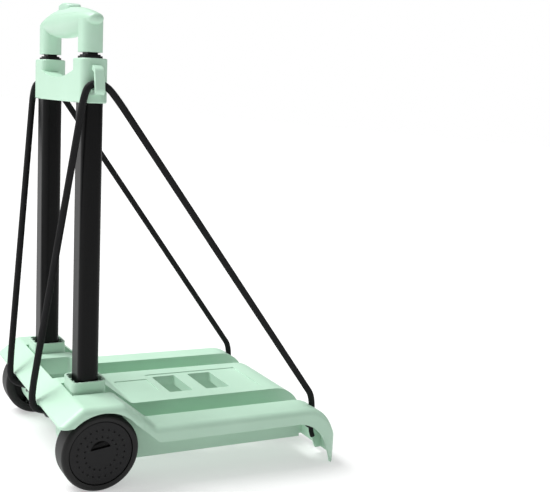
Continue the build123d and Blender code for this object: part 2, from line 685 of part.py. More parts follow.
write(socket_pins(), "socket_pins", mast_frame)
sleeve_wall = STAGE_GAP - SLIDE_FIT
for side_name, side_sign in SIDES.items():
    write(side_of(tube_socket(), side_sign), f"socket_{side_name}", mast_frame)
    write(side_of(outer_stage(), side_sign), f"outer_tube_{side_name}", mast_frame)
    middle = stage_tube(middle_width, middle_thick, middle_corner, STAGE_WALL, MIDDLE_FOOT, middle_top)
    write(side_of(middle, side_sign), f"middle_tube_{side_name}", mast_frame)
    inner = stage_tube(inner_width, inner_thick, inner_corner, STAGE_WALL, INNER_FOOT, leg_low + LEG_SOCKET)
    write(side_of(inner, side_sign), f"inner_tube_{side_name}", mast_frame)
    outer_ring = collar(TUBE_WIDTH - 2 * COLLAR_INSET, TUBE_THICK - 2 * COLLAR_INSET,
                        TUBE_CORNER - COLLAR_INSET, bracket_top, collar_top,
                        middle_width + 2 * SLIDE_FIT, middle_thick + 2 * SLIDE_FIT,
                        sleeve_wall, bracket_top - BOSS_ROOF - GLIDE)
    write(side_of(outer_ring, side_sign), f"outer_collar_{side_name}", mast_frame)
    middle_ring = collar(middle_width, middle_thick, middle_corner, middle_top, middle_collar_top,
                         inner_width + 2 * SLIDE_FIT, inner_thick + 2 * SLIDE_FIT,
                         sleeve_wall, middle_top - GLIDE)
    write(side_of(middle_ring, side_sign), f"middle_collar_{side_name}", mast_frame)
    middle_shoe = glide(middle_width, middle_thick, middle_corner, STAGE_WALL, sleeve_wall, MIDDLE_FOOT)
    write(side_of(middle_shoe, side_sign), f"middle_glide_{side_name}", mast_frame)
    inner_shoe = glide(inner_width, inner_thick, inner_corner, STAGE_WALL, sleeve_wall, INNER_FOOT)
    write(side_of(inner_shoe, side_sign), f"inner_glide_{side_name}", mast_frame)


# ---- bracket ----
def cross_bracket():
    """Make the bracket: two bosses round the outer tubes, a beam and two cord hooks."""
    boss_side = TUBE_X - boss_width / 2
    hook_z = BRACKET_LOW + HOOK_LOW + HOOK_ARM / 2
    hook_x = TUBE_X + boss_width / 2
    with BuildPart() as bracket:
        with BuildSketch(Plane.XY.offset(BRACKET_LOW)):
            with Locations((TUBE_X, 0), (-TUBE_X, 0)):
                RectangleRounded(boss_width, boss_thick, BOSS_CORNER)
        extrude(amount=BRACKET_HEIGHT)
        fillet(bracket.faces().filter_by(Axis.Z).edges(), 1.5)
        with BuildSketch(Plane.XZ.offset(boss_thick / 2)):
            with BuildLine():
                Polyline(
                    (-boss_side - 9, BRACKET_LOW + BEAM_END + 2),
                    (-boss_side - 9, BRACKET_LOW),
                    (boss_side + 9, BRACKET_LOW),
                    (boss_side + 9, BRACKET_LOW + BEAM_END + 2),
                )
                ThreePointArc((boss_side + 9, BRACKET_LOW + BEAM_END + 2), (0, BRACKET_LOW + BEAM_MIDDLE),
                              (-boss_side - 9, BRACKET_LOW + BEAM_END + 2))
            make_face()
        extrude(amount=-BEAM_THICK)
        with BuildSketch(Plane.XZ.offset(HOOK_DEPTH / 2)):
            with BuildLine():
                FilletPolyline(
                    (hook_x - 3, hook_z),
                    (hook_x + HOOK_REACH - HOOK_ARM / 2, hook_z),
                    (hook_x + HOOK_REACH - HOOK_ARM / 2 - 3.6, hook_z + HOOK_HEIGHT - 1.5),
                    (hook_x + HOOK_REACH - HOOK_ARM / 2 - 11.5, hook_z + HOOK_HEIGHT + 1.5),
                    radius=2.6,
                )
            trace(line_width=HOOK_ARM)
            mirror(about=Plane.YZ)
        extrude(amount=-HOOK_DEPTH)
        with BuildSketch(Plane.XY.offset(BRACKET_LOW)):
            with Locations((TUBE_X, 0), (-TUBE_X, 0)):
                RectangleRounded(TUBE_WIDTH + 2 * PRESS, TUBE_THICK + 2 * PRESS, TUBE_CORNER + PRESS)
        extrude(amount=BRACKET_HEIGHT - BOSS_ROOF, mode=Mode.SUBTRACT)
        with BuildSketch(Plane.XY.offset(BRACKET_LOW)):
            with Locations((TUBE_X, 0), (-TUBE_X, 0)):
                RectangleRounded(TUBE_WIDTH - 2 * TUBE_WALL, TUBE_THICK - 2 * TUBE_WALL,
                                 TUBE_CORNER - TUBE_WALL)
        extrude(amount=BRACKET_HEIGHT, mode=Mode.SUBTRACT)
    return bracket


write(cross_bracket(), "bracket", mast_frame)


# ---- handle ----
def arc_height(across, middle, end):
    """Give the height of a shallow curve across the bar, level at its middle."""
    return middle + (end - middle) * (across / GRIP_SHOULDER) ** 2


def handle_solid():
    """Make the handle's whole outer form: a lens-shaped bar on two legs."""
    sections = []
    for across in GRIP_SECTIONS:
        top = arc_height(across, grip_top, grip_tip + GRIP_TIP_ROUND)
        low = arc_height(across, grip_low - GRIP_SAG, grip_tip - GRIP_TIP_ROUND)
        half = arc_height(across, GRIP_THICK, GRIP_END_THICK) / 2
        sections.append((across, (top + low) / 2, (top - low) / 2, half))
    sections.append((GRIP_HALF - 2, grip_tip, GRIP_TIP_ROUND - 1, GRIP_END_THICK / 2 - 1.5))
    sections.append((GRIP_HALF - 0.5, grip_tip, GRIP_TIP_ROUND - 2.8, GRIP_END_THICK / 2 - 4))
    sections.append((GRIP_HALF, grip_tip, GRIP_TIP_ROUND - 4, GRIP_END_THICK / 2 - 5.5))
    mirrored = [(-across, middle, high, half) for across, middle, high, half in reversed(sections[1:])]
    with BuildPart() as form:
        for across, middle, high, half in mirrored + sections:
            with BuildSketch(Plane.YZ.offset(across)):
                with Locations((0, middle)):
                    Ellipse(half, high)
        loft()
        with BuildSketch(Plane.XY.offset(leg_low)):
            with Locations((TUBE_X, 0), (-TUBE_X, 0)):
                RectangleRounded(leg_width, leg_thick, leg_thick / 2 - 0.5)
        extrude(amount=grip_tip - leg_low)
    return form


def handle_chamber():
    """Make the space inside the handle that the release works in."""
    with BuildPart() as chamber:
        with Locations((0, 0, (yoke_low + yoke_high - BUTTON_TRAVEL) / 2)):
            Box(2 * TUBE_X + YOKE_WIDTH + 2, YOKE_WIDTH + 2, YOKE_THICK + BUTTON_TRAVEL + 2)
        with BuildSketch(Plane.XY.offset(yoke_high - BUTTON_TRAVEL - 1)):
            SlotOverall(BUTTON_LENGTH + 2 * BUTTON_GAP, BUTTON_WIDTH + 2 * BUTTON_GAP)
        extrude(amount=40)
        with BuildSketch(Plane.XY.offset(spring_low)):
            Circle(SPRING_DIAMETER / 2 + 0.5)
        extrude(amount=yoke_low - spring_low)
        with BuildSketch(Plane.XY.offset(leg_low)):
            with Locations((TUBE_X, 0), (-TUBE_X, 0)):
                RectangleRounded(inner_width + 2 * PRESS, inner_thick + 2 * PRESS, inner_corner + PRESS)
        extrude(amount=LEG_SOCKET)
        with BuildSketch(Plane.XY.offset(leg_low)):
            with Locations((TUBE_X, 0), (-TUBE_X, 0)):
                Circle(ROD_DIAMETER / 2 + 0.8)
        extrude(amount=yoke_low - leg_low)
    return chamber


def screw_pair(low, high, shaft, head, head_height):
    """Make two upright screws, or the space for them."""
    with BuildPart() as screws:
        with BuildSketch(Plane.XY.offset(low)):
            with Locations((SCREW_X, 0), (-SCREW_X, 0)):
                Circle(shaft / 2)
        extrude(amount=high - low)
        with BuildSketch(Plane.XY.offset(low + SCREW_HEAD_HEIGHT)):
            with Locations((SCREW_X, 0), (-SCREW_X, 0)):
                Circle(head / 2)
        extrude(amount=-head_height)
    return screws


def handle_shell(keep):
    """Make one shell of the handle, above or below the split."""
    with BuildPart() as shell:
        add(handle_form.part)
        split(bisect_by=Plane.XY.offset(split_height), keep=keep)
        add(chamber_form.part, mode=Mode.SUBTRACT)
        add(screw_space.part, mode=Mode.SUBTRACT)
    return shell


yoke_low = split_height - YOKE_DROP - YOKE_THICK
yoke_high = yoke_low + YOKE_THICK
spring_low = grip_low + GRIP_WALL
screw_low = grip_low + SCREW_DEPTH
screw_high = split_height + SCREW_GRIP
handle_form = handle_solid()
chamber_form = handle_chamber()
screw_space = screw_pair(screw_low, screw_high, SCREW_DIAMETER, SCREW_HEAD + 0.6, 20)
write(handle_shell(Keep.BOTTOM), "handle_grip", mast_frame)
write(handle_shell(Keep.TOP), "handle_cap", mast_frame)
handle_screws = screw_pair(screw_low, screw_high, SCREW_DIAMETER, SCREW_HEAD, SCREW_HEAD_HEIGHT)
write(handle_screws, "handle_screws", mast_frame)


def release_button():
    """Make the button: a long slot shape with a domed top."""
    top = grip_top + BUTTON_PROUD
    reach = BUTTON_LENGTH / 2
    with BuildPart() as button:
        with BuildSketch(Plane.XY.offset(yoke_high)):
            SlotOverall(BUTTON_LENGTH, BUTTON_WIDTH)
        extrude(amount=top - yoke_high)
        with BuildSketch(Plane.XZ.offset(-BUTTON_WIDTH)):
            with BuildLine():
                ThreePointArc((-reach, top - BUTTON_DOME), (0, top), (reach, top - BUTTON_DOME))
                Polyline((reach, top - BUTTON_DOME), (reach, yoke_high), (-reach, yoke_high),
                         (-reach, top - BUTTON_DOME))
            make_face()
        extrude(amount=2 * BUTTON_WIDTH, mode=Mode.INTERSECT)
        dome = button.faces().sort_by(Axis.Z)[-1]
        fillet(dome.edges(), BUTTON_ROUND)
    return button


def release_yoke():
    """Make the bar under the button that carries both push rods."""
    with BuildPart() as yoke:
        with Locations((0, 0, (yoke_low + yoke_high) / 2)):
            Box(2 * TUBE_X + YOKE_WIDTH, YOKE_WIDTH, YOKE_THICK)
        with Locations((SCREW_X, 0, yoke_low), (-SCREW_X, 0, yoke_low)):
            Cylinder(SCREW_DIAMETER / 2 + 0.6, 3 * YOKE_THICK, mode=Mode.SUBTRACT)
    return yoke


def push_rod():
    """Make one rod from the yoke down to the inner tube's foot."""
    with BuildPart() as rod:
        with BuildSketch(Plane.XY.offset(INNER_FOOT + 4)):
            with Locations((TUBE_X, 0)):
                Circle(ROD_DIAMETER / 2)
        extrude(amount=yoke_low - INNER_FOOT - 4)
    return rod


def button_spring():
    """Make the coil spring that lifts the yoke and the button."""
    height = yoke_low - spring_low - SPRING_WIRE
    radius = (SPRING_DIAMETER - SPRING_WIRE) / 2
    with BuildPart() as spring:
        with BuildLine():
            coil = Helix(height / SPRING_TURNS, height, radius, center=(0, 0, spring_low + SPRING_WIRE / 2))
        with BuildSketch(Plane(origin=coil @ 0, z_dir=coil % 0)):
            Circle(SPRING_WIRE / 2)
        sweep(is_frenet=True)
    return spring


write(release_button(), "release_button", mast_frame)
write(release_yoke(), "release_yoke", mast_frame)
write(button_spring(), "button_spring", mast_frame)
for side_name, side_sign in SIDES.items():
    write(side_of(push_rod(), side_sign), f"push_rod_{side_name}", mast_frame)


# ---- cords ----
def bend_radii(points):
    """Give each corner of a route the largest arc that its two runs allow."""
    radii = []
    for before, corner, after in zip(points, points[1:], points[2:]):
        arrive = Vector(*corner) - Vector(*before)
        leave = Vector(*after) - Vector(*corner)
        shorter = min(arrive.length, leave.length)
        radii.append(0.45 * shorter / tan(radians(arrive.get_angle(leave) / 2)))
    return radii


def bungee_cord():
    """Make one elastic cord along its route."""
    radii = bend_radii(CORD_ROUTE)
    with BuildPart() as cord:
        with BuildLine() as route:
            FilletPolyline(*CORD_ROUTE, radius=radii)
        with BuildSketch(Plane(origin=route.line @ 0, z_dir=route.line % 0)):
            Circle(CORD_DIAMETER / 2)
        sweep()
    length = route.wires()[0].length
    filled = cord.part.volume / (pi * CORD_DIAMETER**2 / 4 * length)
    print("cord bends", [round(radius, 1) for radius in radii])
    print("cord length", round(length, 1), "volume over section times length", round(filled, 4))
    return cord


def cord_knot():
    """Make the knot under the deck that stops the cord's front end."""
    ball = KNOT_WIDTH / 2
    roll_centre = DECK_TOP - ROLL_RADIUS
    reach = ROLL_RADIUS - WALL - ball
    ball_height = roll_centre + sqrt(reach**2 - (cord_hole_y - ROLL_START) ** 2)
    with BuildPart() as knot:
        with Locations((CORD_HOLE_X, cord_hole_y, ball_height)):
            Sphere(ball)
            Cylinder(ball, KNOT_HEIGHT - 2 * ball, align=(Align.CENTER, Align.CENTER, Align.MAX))
        with Locations((CORD_HOLE_X, cord_hole_y, ball_height + 2 * ball - KNOT_HEIGHT)):
            Sphere(ball)
        with Locations((CORD_HOLE_X, cord_hole_y, KNOT_SEAT - 0.2)):
            Cylinder(CORD_DIAMETER / 2 + 0.3, KNOT_HEIGHT, align=(Align.CENTER, Align.CENTER, Align.MIN),
                     mode=Mode.SUBTRACT)
    return knot


def hook_binding():
    """Make the wire binding round the cord's end and the hook's shank."""
    with BuildPart() as binding:
        with BuildSketch(Plane(origin=cord_end, z_dir=cord_end_way)):
            Circle(BINDING_DIAMETER / 2)
        extrude(amount=BINDING_LENGTH)
        chamfer(binding.edges().filter_by(GeomType.CIRCLE), 1.5)
    return binding


def wire_hook():
    """Make the bent wire hook from its binding to the anchor rib's hole."""
    leg_y = ANCHOR_RIB + (RIB + HOOK_WIRE) / 2
    hook_points = [
        (ANCHOR_X, ANCHOR_RIB - ANCHOR_RUN, ANCHOR_HEIGHT),
        (ANCHOR_X, leg_y, ANCHOR_HEIGHT),
        (ANCHOR_X, leg_y, ANCHOR_HEIGHT - HOOK_LEG),
        (ANCHOR_X, leg_y + HOOK_TIP, ANCHOR_HEIGHT - HOOK_LEG),
    ]
    placed = [(deck_frame * Location(point)).position for point in hook_points]
    shank_start = cord_end + cord_end_way * BINDING_LENGTH
    with BuildPart() as hook:
        with BuildLine() as wire:
            FilletPolyline(shank_start, shank_start + cord_end_way * HOOK_SHANK, *placed, radius=HOOK_BEND)
        with BuildSketch(Plane(origin=wire.line @ 0, z_dir=wire.line % 0)):
            Circle(HOOK_WIRE / 2)
        sweep()
    return hook


cord_end = Vector(*CORD_ROUTE[-1])
cord_end_way = (cord_end - Vector(*CORD_ROUTE[-2])).normalized()
for side_name, side_sign in SIDES.items():
    write(side_of(bungee_cord(), side_sign), f"cord_{side_name}")
    write(side_of(cord_knot(), side_sign), f"cord_knot_{side_name}", deck_frame)
    write(side_of(hook_binding(), side_sign), f"hook_binding_{side_name}")
    write(side_of(wire_hook(), side_sign), f"wire_hook_{side_name}")
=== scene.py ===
"""Looks of a folding luggage trolley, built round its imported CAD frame.

Every piece is in metres and in the frame's own coordinates. The trolley's
deck and mast each have their own directions, both through the axle.
"""

import logging
import math
from collections.abc import Callable
from dataclasses import dataclass, field
from enum import Enum

import bmesh
import bpy
from mathutils import Euler, Matrix, Vector


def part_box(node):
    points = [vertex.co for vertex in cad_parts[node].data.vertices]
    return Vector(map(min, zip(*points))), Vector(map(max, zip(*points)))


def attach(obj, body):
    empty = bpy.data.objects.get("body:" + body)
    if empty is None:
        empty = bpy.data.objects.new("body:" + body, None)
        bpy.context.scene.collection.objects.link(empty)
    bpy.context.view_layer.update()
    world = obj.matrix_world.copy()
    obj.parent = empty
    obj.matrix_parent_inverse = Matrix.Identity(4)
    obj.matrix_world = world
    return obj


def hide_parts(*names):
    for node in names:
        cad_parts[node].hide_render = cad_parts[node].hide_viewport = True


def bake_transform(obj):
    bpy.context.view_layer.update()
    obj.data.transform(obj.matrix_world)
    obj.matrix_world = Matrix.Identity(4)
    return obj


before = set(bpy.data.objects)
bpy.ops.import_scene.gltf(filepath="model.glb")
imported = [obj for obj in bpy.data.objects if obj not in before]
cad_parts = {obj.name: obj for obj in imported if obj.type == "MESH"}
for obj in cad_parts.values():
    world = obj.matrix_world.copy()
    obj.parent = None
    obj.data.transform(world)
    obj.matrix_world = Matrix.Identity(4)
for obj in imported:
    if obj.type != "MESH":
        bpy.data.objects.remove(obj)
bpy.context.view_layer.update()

LOG = logging.getLogger("trolley")
MM = 0.001
JOIN_DISTANCE = 0.002 * MM
FLAT_ANGLE = 0.5
ROUND_ANGLE = 60.0

SocketValue = bpy.types.NodeSocket | float | int | tuple | str | bpy.types.Material


class Side(Enum):
    """A side of the trolley, with the sign of its X."""

    LEFT = -1
    RIGHT = 1

    @property
    def word(self) -> str:
        """The side's name as the frame's nodes and bodies write it."""
        return self.name.lower()


@dataclass(frozen=True)
class Stance:
    """How the deck and the mast stand on the axle."""

    deck_pitch: float = 1.6
    mast_lean: float = 3.5

    @property
    def axle(self) -> Vector:
        """The middle of the axle."""
        low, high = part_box("axle")
        return (low + high) / 2

    def turned(self, degrees: float) -> Matrix:
        """Place a frame at the axle, turned about the axle's line.

        Args:
            degrees: The turn about X.

        Returns:
            The matrix from that frame to the trolley's.
        """
        return Matrix.Translation(self.axle) @ Matrix.Rotation(math.radians(degrees), 4, "X")

    @property
    def deck(self) -> Matrix:
        """The deck's frame: Y along the deck, Z off its top."""
        return self.turned(self.deck_pitch)

    @property
    def mast(self) -> Matrix:
        """The mast's frame: Z up the tubes."""
        return self.turned(self.mast_lean)


STANCE = Stance()


# ---- nodes ----
def add(
    tree: bpy.types.NodeTree,
    kind: str,
    inputs: dict[str | int, SocketValue] | None = None,
    **settings: object,
) -> bpy.types.Node:
    """Add a node with its settings, values and links.

    Args:
        tree: The node tree that it joins.
        kind: The node's type.
        inputs: Each input's name or number, with a value or the output it reads.
        settings: The node's own properties.

    Returns:
        The new node.
    """
    node = tree.nodes.new(kind)
    for name, value in settings.items():
        setattr(node, name, value)
    for key, value in (inputs or {}).items():
        if isinstance(value, bpy.types.NodeSocket):
            tree.links.new(value, node.inputs[key])
        else:
            node.inputs[key].default_value = value
    return node


def linear(hex_colour: str) -> tuple[float, float, float, float]:
    """Turn an sRGB hex colour into linear light.

    Args:
        hex_colour: Six hex digits after a hash.

    Returns:
        Red, green, blue and full alpha.
    """
    channels = [int(hex_colour[i : i + 2], 16) / 255 for i in (1, 3, 5)]
    light = [c / 12.92 if c <= 0.04045 else ((c + 0.055) / 1.055) ** 2.4 for c in channels]
    return (*light, 1.0)


# ---- finishes ----
@dataclass(frozen=True)
class Finish:
    """A surface finish, made into one Blender material when first asked for."""

    name: str
    slot: str
    colour: str
    roughness: float

    def material(self) -> bpy.types.Material:
        """Give the finish's material, building it the first time.

        Returns:
            The material.
        """
        made = bpy.data.materials.get(self.name)
        if made is None:
            made = bpy.data.materials.new(self.name)
            made.use_nodes = True
            made.node_tree.nodes.clear()
            shader = add(made.node_tree, "ShaderNodeBsdfPrincipled", {"Roughness": self.roughness})
            self.surface(made.node_tree, shader)
            add(made.node_tree, "ShaderNodeOutputMaterial", {"Surface": shader.outputs["BSDF"]})
        return made

    def surface(self, tree: bpy.types.NodeTree, shader: bpy.types.Node) -> None:
        """Give the shader its colour and relief.

        Args:
            tree: The material's nodes.
            shader: The shader that they feed.
        """
        raise NotImplementedError

    def mottle(
        self,
        tree: bpy.types.NodeTree,
        patch: float,
        shades: tuple[str, str],
        contrast: float,
    ) -> bpy.types.NodeSocket:
        """Vary a colour slowly over the surface.

        Args:
            tree: The material's nodes.
            patch: The size of a patch, in metres.
            shades: The darker and the lighter colour.
            contrast: How narrow the step between them is, up to 1.

        Returns:
            The colour.
        """
        place = add(tree, "ShaderNodeTexCoord")
        noise = add(
            tree,
            "ShaderNodeTexNoise",
            {"Vector": place.outputs["Object"], "Scale": 1 / patch, "Detail": 3.0},
        )
        ramp = add(tree, "ShaderNodeValToRGB", {"Fac": noise.outputs["Fac"]})
        ramp.color_ramp.elements[0].position = 0.5 * contrast
        ramp.color_ramp.elements[1].position = 1 - 0.5 * contrast
        ramp.color_ramp.elements[0].color = linear(shades[0])
        ramp.color_ramp.elements[1].color = linear(shades[1])
        return ramp.outputs["Color"]

    def grain(
        self,
        tree: bpy.types.NodeTree,
        size: float,
        height: float,
        under: bpy.types.NodeSocket | None = None,
    ) -> bpy.types.NodeSocket:
        """Raise a fine random grain.

        Args:
            tree: The material's nodes.
            size: The size of a grain, in metres.
            height: How high it stands, in metres.
            under: The normal that it is added to.

        Returns:
            The new normal.
        """
        place = add(tree, "ShaderNodeTexCoord")
        noise = add(
            tree,
            "ShaderNodeTexNoise",
            {"Vector": place.outputs["Object"], "Scale": 1 / size, "Detail": 2.0},
        )
        bump = add(
            tree,
            "ShaderNodeBump",
            {"Height": noise.outputs["Fac"], "Strength": 1.0, "Distance": height},
        )
        if under is not None:
            tree.links.new(under, bump.inputs["Normal"])
        return bump.outputs["Normal"]


@dataclass(frozen=True)
class MouldedPlastic(Finish):
    """An injection-moulded plastic: a soft even sheen from a lightly grained mould."""

    light: str = "#ffffff"
    # The paler colour painted on the edges as a painted highlight.
    edge_highlight: str = "#ffffff"
    edge_radius: float = 0.8 * MM
    grain_size: float = 1.1 * MM
    grain_height: float = 0.012 * MM
    patch: float = 60 * MM
    contrast: float = 0.5
    # Where the painted edge highlight begins, where it is full, and how strong it gets.
    highlight_begins: float = 0.99
    highlight_full: float = 0.8
    highlight_most: float = 0.45
    ior: float = 1.49
    gloss: float = 0.5

    def surface(self, tree: bpy.types.NodeTree, shader: bpy.types.Node) -> None:
        """Give slow colour changes, painted highlights on the edges, rounded moulded edges and the
        mould's grain.

        Args:
            tree: The material's nodes.
            shader: The shader that they feed.
        """
        body = self.mottle(tree, self.patch, (self.colour, self.light), self.contrast)
        rounded = add(tree, "ShaderNodeBevel", {"Radius": self.edge_radius}, samples=6)
        flat = add(tree, "ShaderNodeNewGeometry")
        facing = add(
            tree,
            "ShaderNodeVectorMath",
            {0: rounded.outputs["Normal"], 1: flat.outputs["Normal"]},
            operation="DOT_PRODUCT",
        )
        # Edges are painted paler: a painted highlight where light catches the rounded edges.
        painted_edge_highlight = add(
            tree,
            "ShaderNodeMapRange",
            {
                "Value": facing.outputs["Value"],
                "From Min": self.highlight_begins,
                "From Max": self.highlight_full,
                "To Min": 0.0,
                "To Max": self.highlight_most,
            },
        )
        mix = add(
            tree,
            "ShaderNodeMix",
            {0: painted_edge_highlight.outputs[0], 6: body, 7: linear(self.edge_highlight)},
            data_type="RGBA",
        )
        tree.links.new(mix.outputs[2], shader.inputs["Base Color"])
        # The mould's spark grain is about 0.1 mm; it is drawn ten times coarser so that it shows.
        normal = self.grain(tree, self.grain_size, self.grain_height, rounded.outputs["Normal"])
        tree.links.new(normal, shader.inputs["Normal"])
        shader.inputs["IOR"].default_value = self.ior
        shader.inputs["Specular IOR Level"].default_value = self.gloss


@dataclass(frozen=True)
class PowderCoat(Finish):
    """Powder coat on steel tube: satin, with a faint orange-peel ripple."""

    light: str = "#080809"
    patch: float = 25 * MM
    contrast: float = 0.4
    peel_size: float = 2.0 * MM
    peel_height: float = 0.01 * MM
    ior: float = 1.5
    gloss: float = 0.15

    def surface(self, tree: bpy.types.NodeTree, shader: bpy.types.Node) -> None:
        """Give the coat's ripple and its slightly uneven black.

        Args:
            tree: The material's nodes.
            shader: The shader that they feed.
        """
        body = self.mottle(tree, self.patch, (self.colour, self.light), self.contrast)
        tree.links.new(body, shader.inputs["Base Color"])
        # Orange peel on powder coat is 1 to 3 mm across.
        normal = self.grain(tree, self.peel_size, self.peel_height)
        tree.links.new(normal, shader.inputs["Normal"])
        shader.inputs["IOR"].default_value = self.ior
        shader.inputs["Specular IOR Level"].default_value = self.gloss


@dataclass(frozen=True)
class TyrePvc(Finish):
    """A tyre moulded in soft PVC: nearly matt, scuffed where it rolls."""

    dust: str = "#4a4a4a"
    patch: float = 9 * MM
    contrast: float = 0.35
    pebble_size: float = 0.9 * MM
    pebble_height: float = 0.03 * MM
    ior: float = 1.52
    gloss: float = 0.3

    def surface(self, tree: bpy.types.NodeTree, shader: bpy.types.Node) -> None:
        """Give a dusty tread and a fine pebbled skin.

        Args:
            tree: The material's nodes.
            shader: The shader that they feed.
        """
        body = self.mottle(tree, self.patch, (self.colour, self.dust), self.contrast)
        tree.links.new(body, shader.inputs["Base Color"])
        # The skin's pebbles are about 0.3 mm; drawn at 0.9 mm so that they show.
        normal = self.grain(tree, self.pebble_size, self.pebble_height)
        tree.links.new(normal, shader.inputs["Normal"])
        shader.inputs["IOR"].default_value = self.ior
        shader.inputs["Specular IOR Level"].default_value = self.gloss


@dataclass(frozen=True)
class BraidedSheath(Finish):
    """A polyester sheath braided over rubber strands: small dark diagonal picks, their raised tips
    painted lighter as a painted highlight and their dips darker as painted shade.
    """

    # The lighter colour of the raised tips: a painted highlight.
    tip_highlight: str = "#1b1b1d"
    carriers: int = 8
    pick: float = 2.4 * MM
    relief: float = 0.25 * MM
    relief_strength: float = 0.8
    gloss: float = 0.25

    def surface(self, tree: bpy.types.NodeTree, shader: bpy.types.Node) -> None:
        """Cross two diagonal sets of picks, one raised where the other dips.

        Args:
            tree: The material's nodes.
            shader: The shader that they feed.
        """
        place = add(tree, "ShaderNodeUVMap", uv_map="UVMap")
        split = add(tree, "ShaderNodeSeparateXYZ", {"Vector": place.outputs["UV"]})
        # A real pick is about 1.2 mm long; it is drawn twice as long so that it shows.
        around = add(
            tree,
            "ShaderNodeMath",
            {0: split.outputs["X"], 1: 2 * math.pi * self.carriers},
            operation="MULTIPLY",
        )
        along = add(
            tree,
            "ShaderNodeMath",
            {0: split.outputs["Y"], 1: 2 * math.pi / self.pick},
            operation="MULTIPLY",
        )
        both = {0: around.outputs[0], 1: along.outputs[0]}
        rising = add(tree, "ShaderNodeMath", both, operation="ADD")
        falling = add(tree, "ShaderNodeMath", both, operation="SUBTRACT")
        first = add(tree, "ShaderNodeMath", {0: rising.outputs[0]}, operation="SINE")
        second = add(tree, "ShaderNodeMath", {0: falling.outputs[0]}, operation="SINE")
        picks = add(
            tree,
            "ShaderNodeMath",
            {0: first.outputs[0], 1: second.outputs[0]},
            operation="MULTIPLY",
        )
        height = add(
            tree,
            "ShaderNodeMapRange",
            {"Value": picks.outputs[0], "From Min": -1.0, "From Max": 1.0},
        )
        # The colour follows the relief: painted highlight on the raised tips, painted shade in the
        # dips.
        mix = add(
            tree,
            "ShaderNodeMix",
            {0: height.outputs[0], 6: linear(self.colour), 7: linear(self.tip_highlight)},
            data_type="RGBA",
        )
        tree.links.new(mix.outputs[2], shader.inputs["Base Color"])
        bump = add(
            tree,
            "ShaderNodeBump",
            {
                "Height": height.outputs[0],
                "Strength": self.relief_strength,
                "Distance": self.relief,
            },
        )
        tree.links.new(bump.outputs["Normal"], shader.inputs["Normal"])
        shader.inputs["Specular IOR Level"].default_value = self.gloss


@dataclass(frozen=True)
class LacqueredWire(Finish):
    """Spring wire under black lacquer: glossy and dark, with small bare scratches."""

    scratch: str = "#3b3c3e"
    patch: float = 2.5 * MM
    contrast: float = 0.95
    ripple_size: float = 1.0 * MM
    ripple_height: float = 0.01 * MM

    def surface(self, tree: bpy.types.NodeTree, shader: bpy.types.Node) -> None:
        """Show steel through the lacquer in small scratches.

        Args:
            tree: The material's nodes.
            shader: The shader that they feed.
        """
        body = self.mottle(tree, self.patch, (self.colour, self.scratch), self.contrast)
        tree.links.new(body, shader.inputs["Base Color"])
        # Dipped lacquer gathers into ripples about 1 mm long.
        normal = self.grain(tree, self.ripple_size, self.ripple_height)
        tree.links.new(normal, shader.inputs["Normal"])


@dataclass(frozen=True)
class ZincPlate(Finish):
    """Bright zinc plate on turned steel: a pale metal with a cloudy drawn grain."""

    cloud: str = "#b9bec4"
    patch: float = 4 * MM
    contrast: float = 0.5
    line_size: float = 0.6 * MM
    line_height: float = 0.006 * MM

    def surface(self, tree: bpy.types.NodeTree, shader: bpy.types.Node) -> None:
        """Cloud the plate and turn it metallic.

        Args:
            tree: The material's nodes.
            shader: The shader that they feed.
        """
        body = self.mottle(tree, self.patch, (self.colour, self.cloud), self.contrast)
        tree.links.new(body, shader.inputs["Base Color"])
        # Drawn lines on plated rod are about 0.05 mm; drawn at 0.6 mm so that they show.
        normal = self.grain(tree, self.line_size, self.line_height)
        tree.links.new(normal, shader.inputs["Normal"])
        shader.inputs["Metallic"].default_value = 1.0


# Polypropylene, injection-moulded: even, waxy, softly shining.
MINT = MouldedPlastic(
    "mint_polypropylene", "mint_plastic", "#b7dac3", 0.42,
    light="#bee0ca", edge_highlight="#d5eedd",
)
# The same polypropylene from a polished mould, so a little paler and glossier.
MINT_BUTTON = MouldedPlastic(
    "polished_mint_polypropylene", "mint_button_plastic", "#bee0cb", 0.3,
    light="#c4e5d1", edge_highlight="#d8efe0",
)
# Polyester powder coat on drawn steel tube.
TUBE_COAT = PowderCoat("black_powder_coat", "black_tube_paint", "#050506", 0.36)
# Nylon 6, injection-moulded: black with a soft greasy shine.
GLIDE_NYLON = MouldedPlastic(
    "black_nylon", "black_glide_plastic", "#0b0b0c", 0.4,
    light="#0e0e0f", edge_highlight="#18181a", edge_radius=0.3 * MM, gloss=0.25,
)
# Soft PVC, injection-moulded over the hub.
TYRE = TyrePvc("black_tyre_pvc", "black_tyre_rubber", "#0f0f0f", 0.5, dust="#141414")
# ABS, injection-moulded: charcoal, a finer grain than the tyre's.
WHEEL_ABS = MouldedPlastic(
    "charcoal_abs", "black_wheel_plastic", "#181819", 0.45,
    light="#1b1b1c", edge_highlight="#252526", edge_radius=0.4 * MM, gloss=0.22,
)
# The finger recess in the cap comes from a polished patch of the mould, so it is glossier; its
# blacker colour is painted shade for the hollow.
WHEEL_RECESS_SHADED = MouldedPlastic(
    "polished_shaded_charcoal_abs", "black_wheel_plastic", "#080808", 0.3,
    light="#0a0a0a", edge_highlight="#101010", edge_radius=0.2 * MM, gloss=0.12,
)
# Braided polyester over rubber, as on any elastic cord.
SHEATH = BraidedSheath("black_braided_polyester", "black_cord_fabric", "#080809", 0.75)
# Zinc-plated mild steel.
ZINC = ZincPlate("zinc_plated_steel", "zinc_steel", "#a3a8ae", 0.32)
# Hard-drawn spring wire, dipped in lacquer.
WIRE = LacqueredWire("black_lacquered_wire", "binding_wire", "#161718", 0.34)
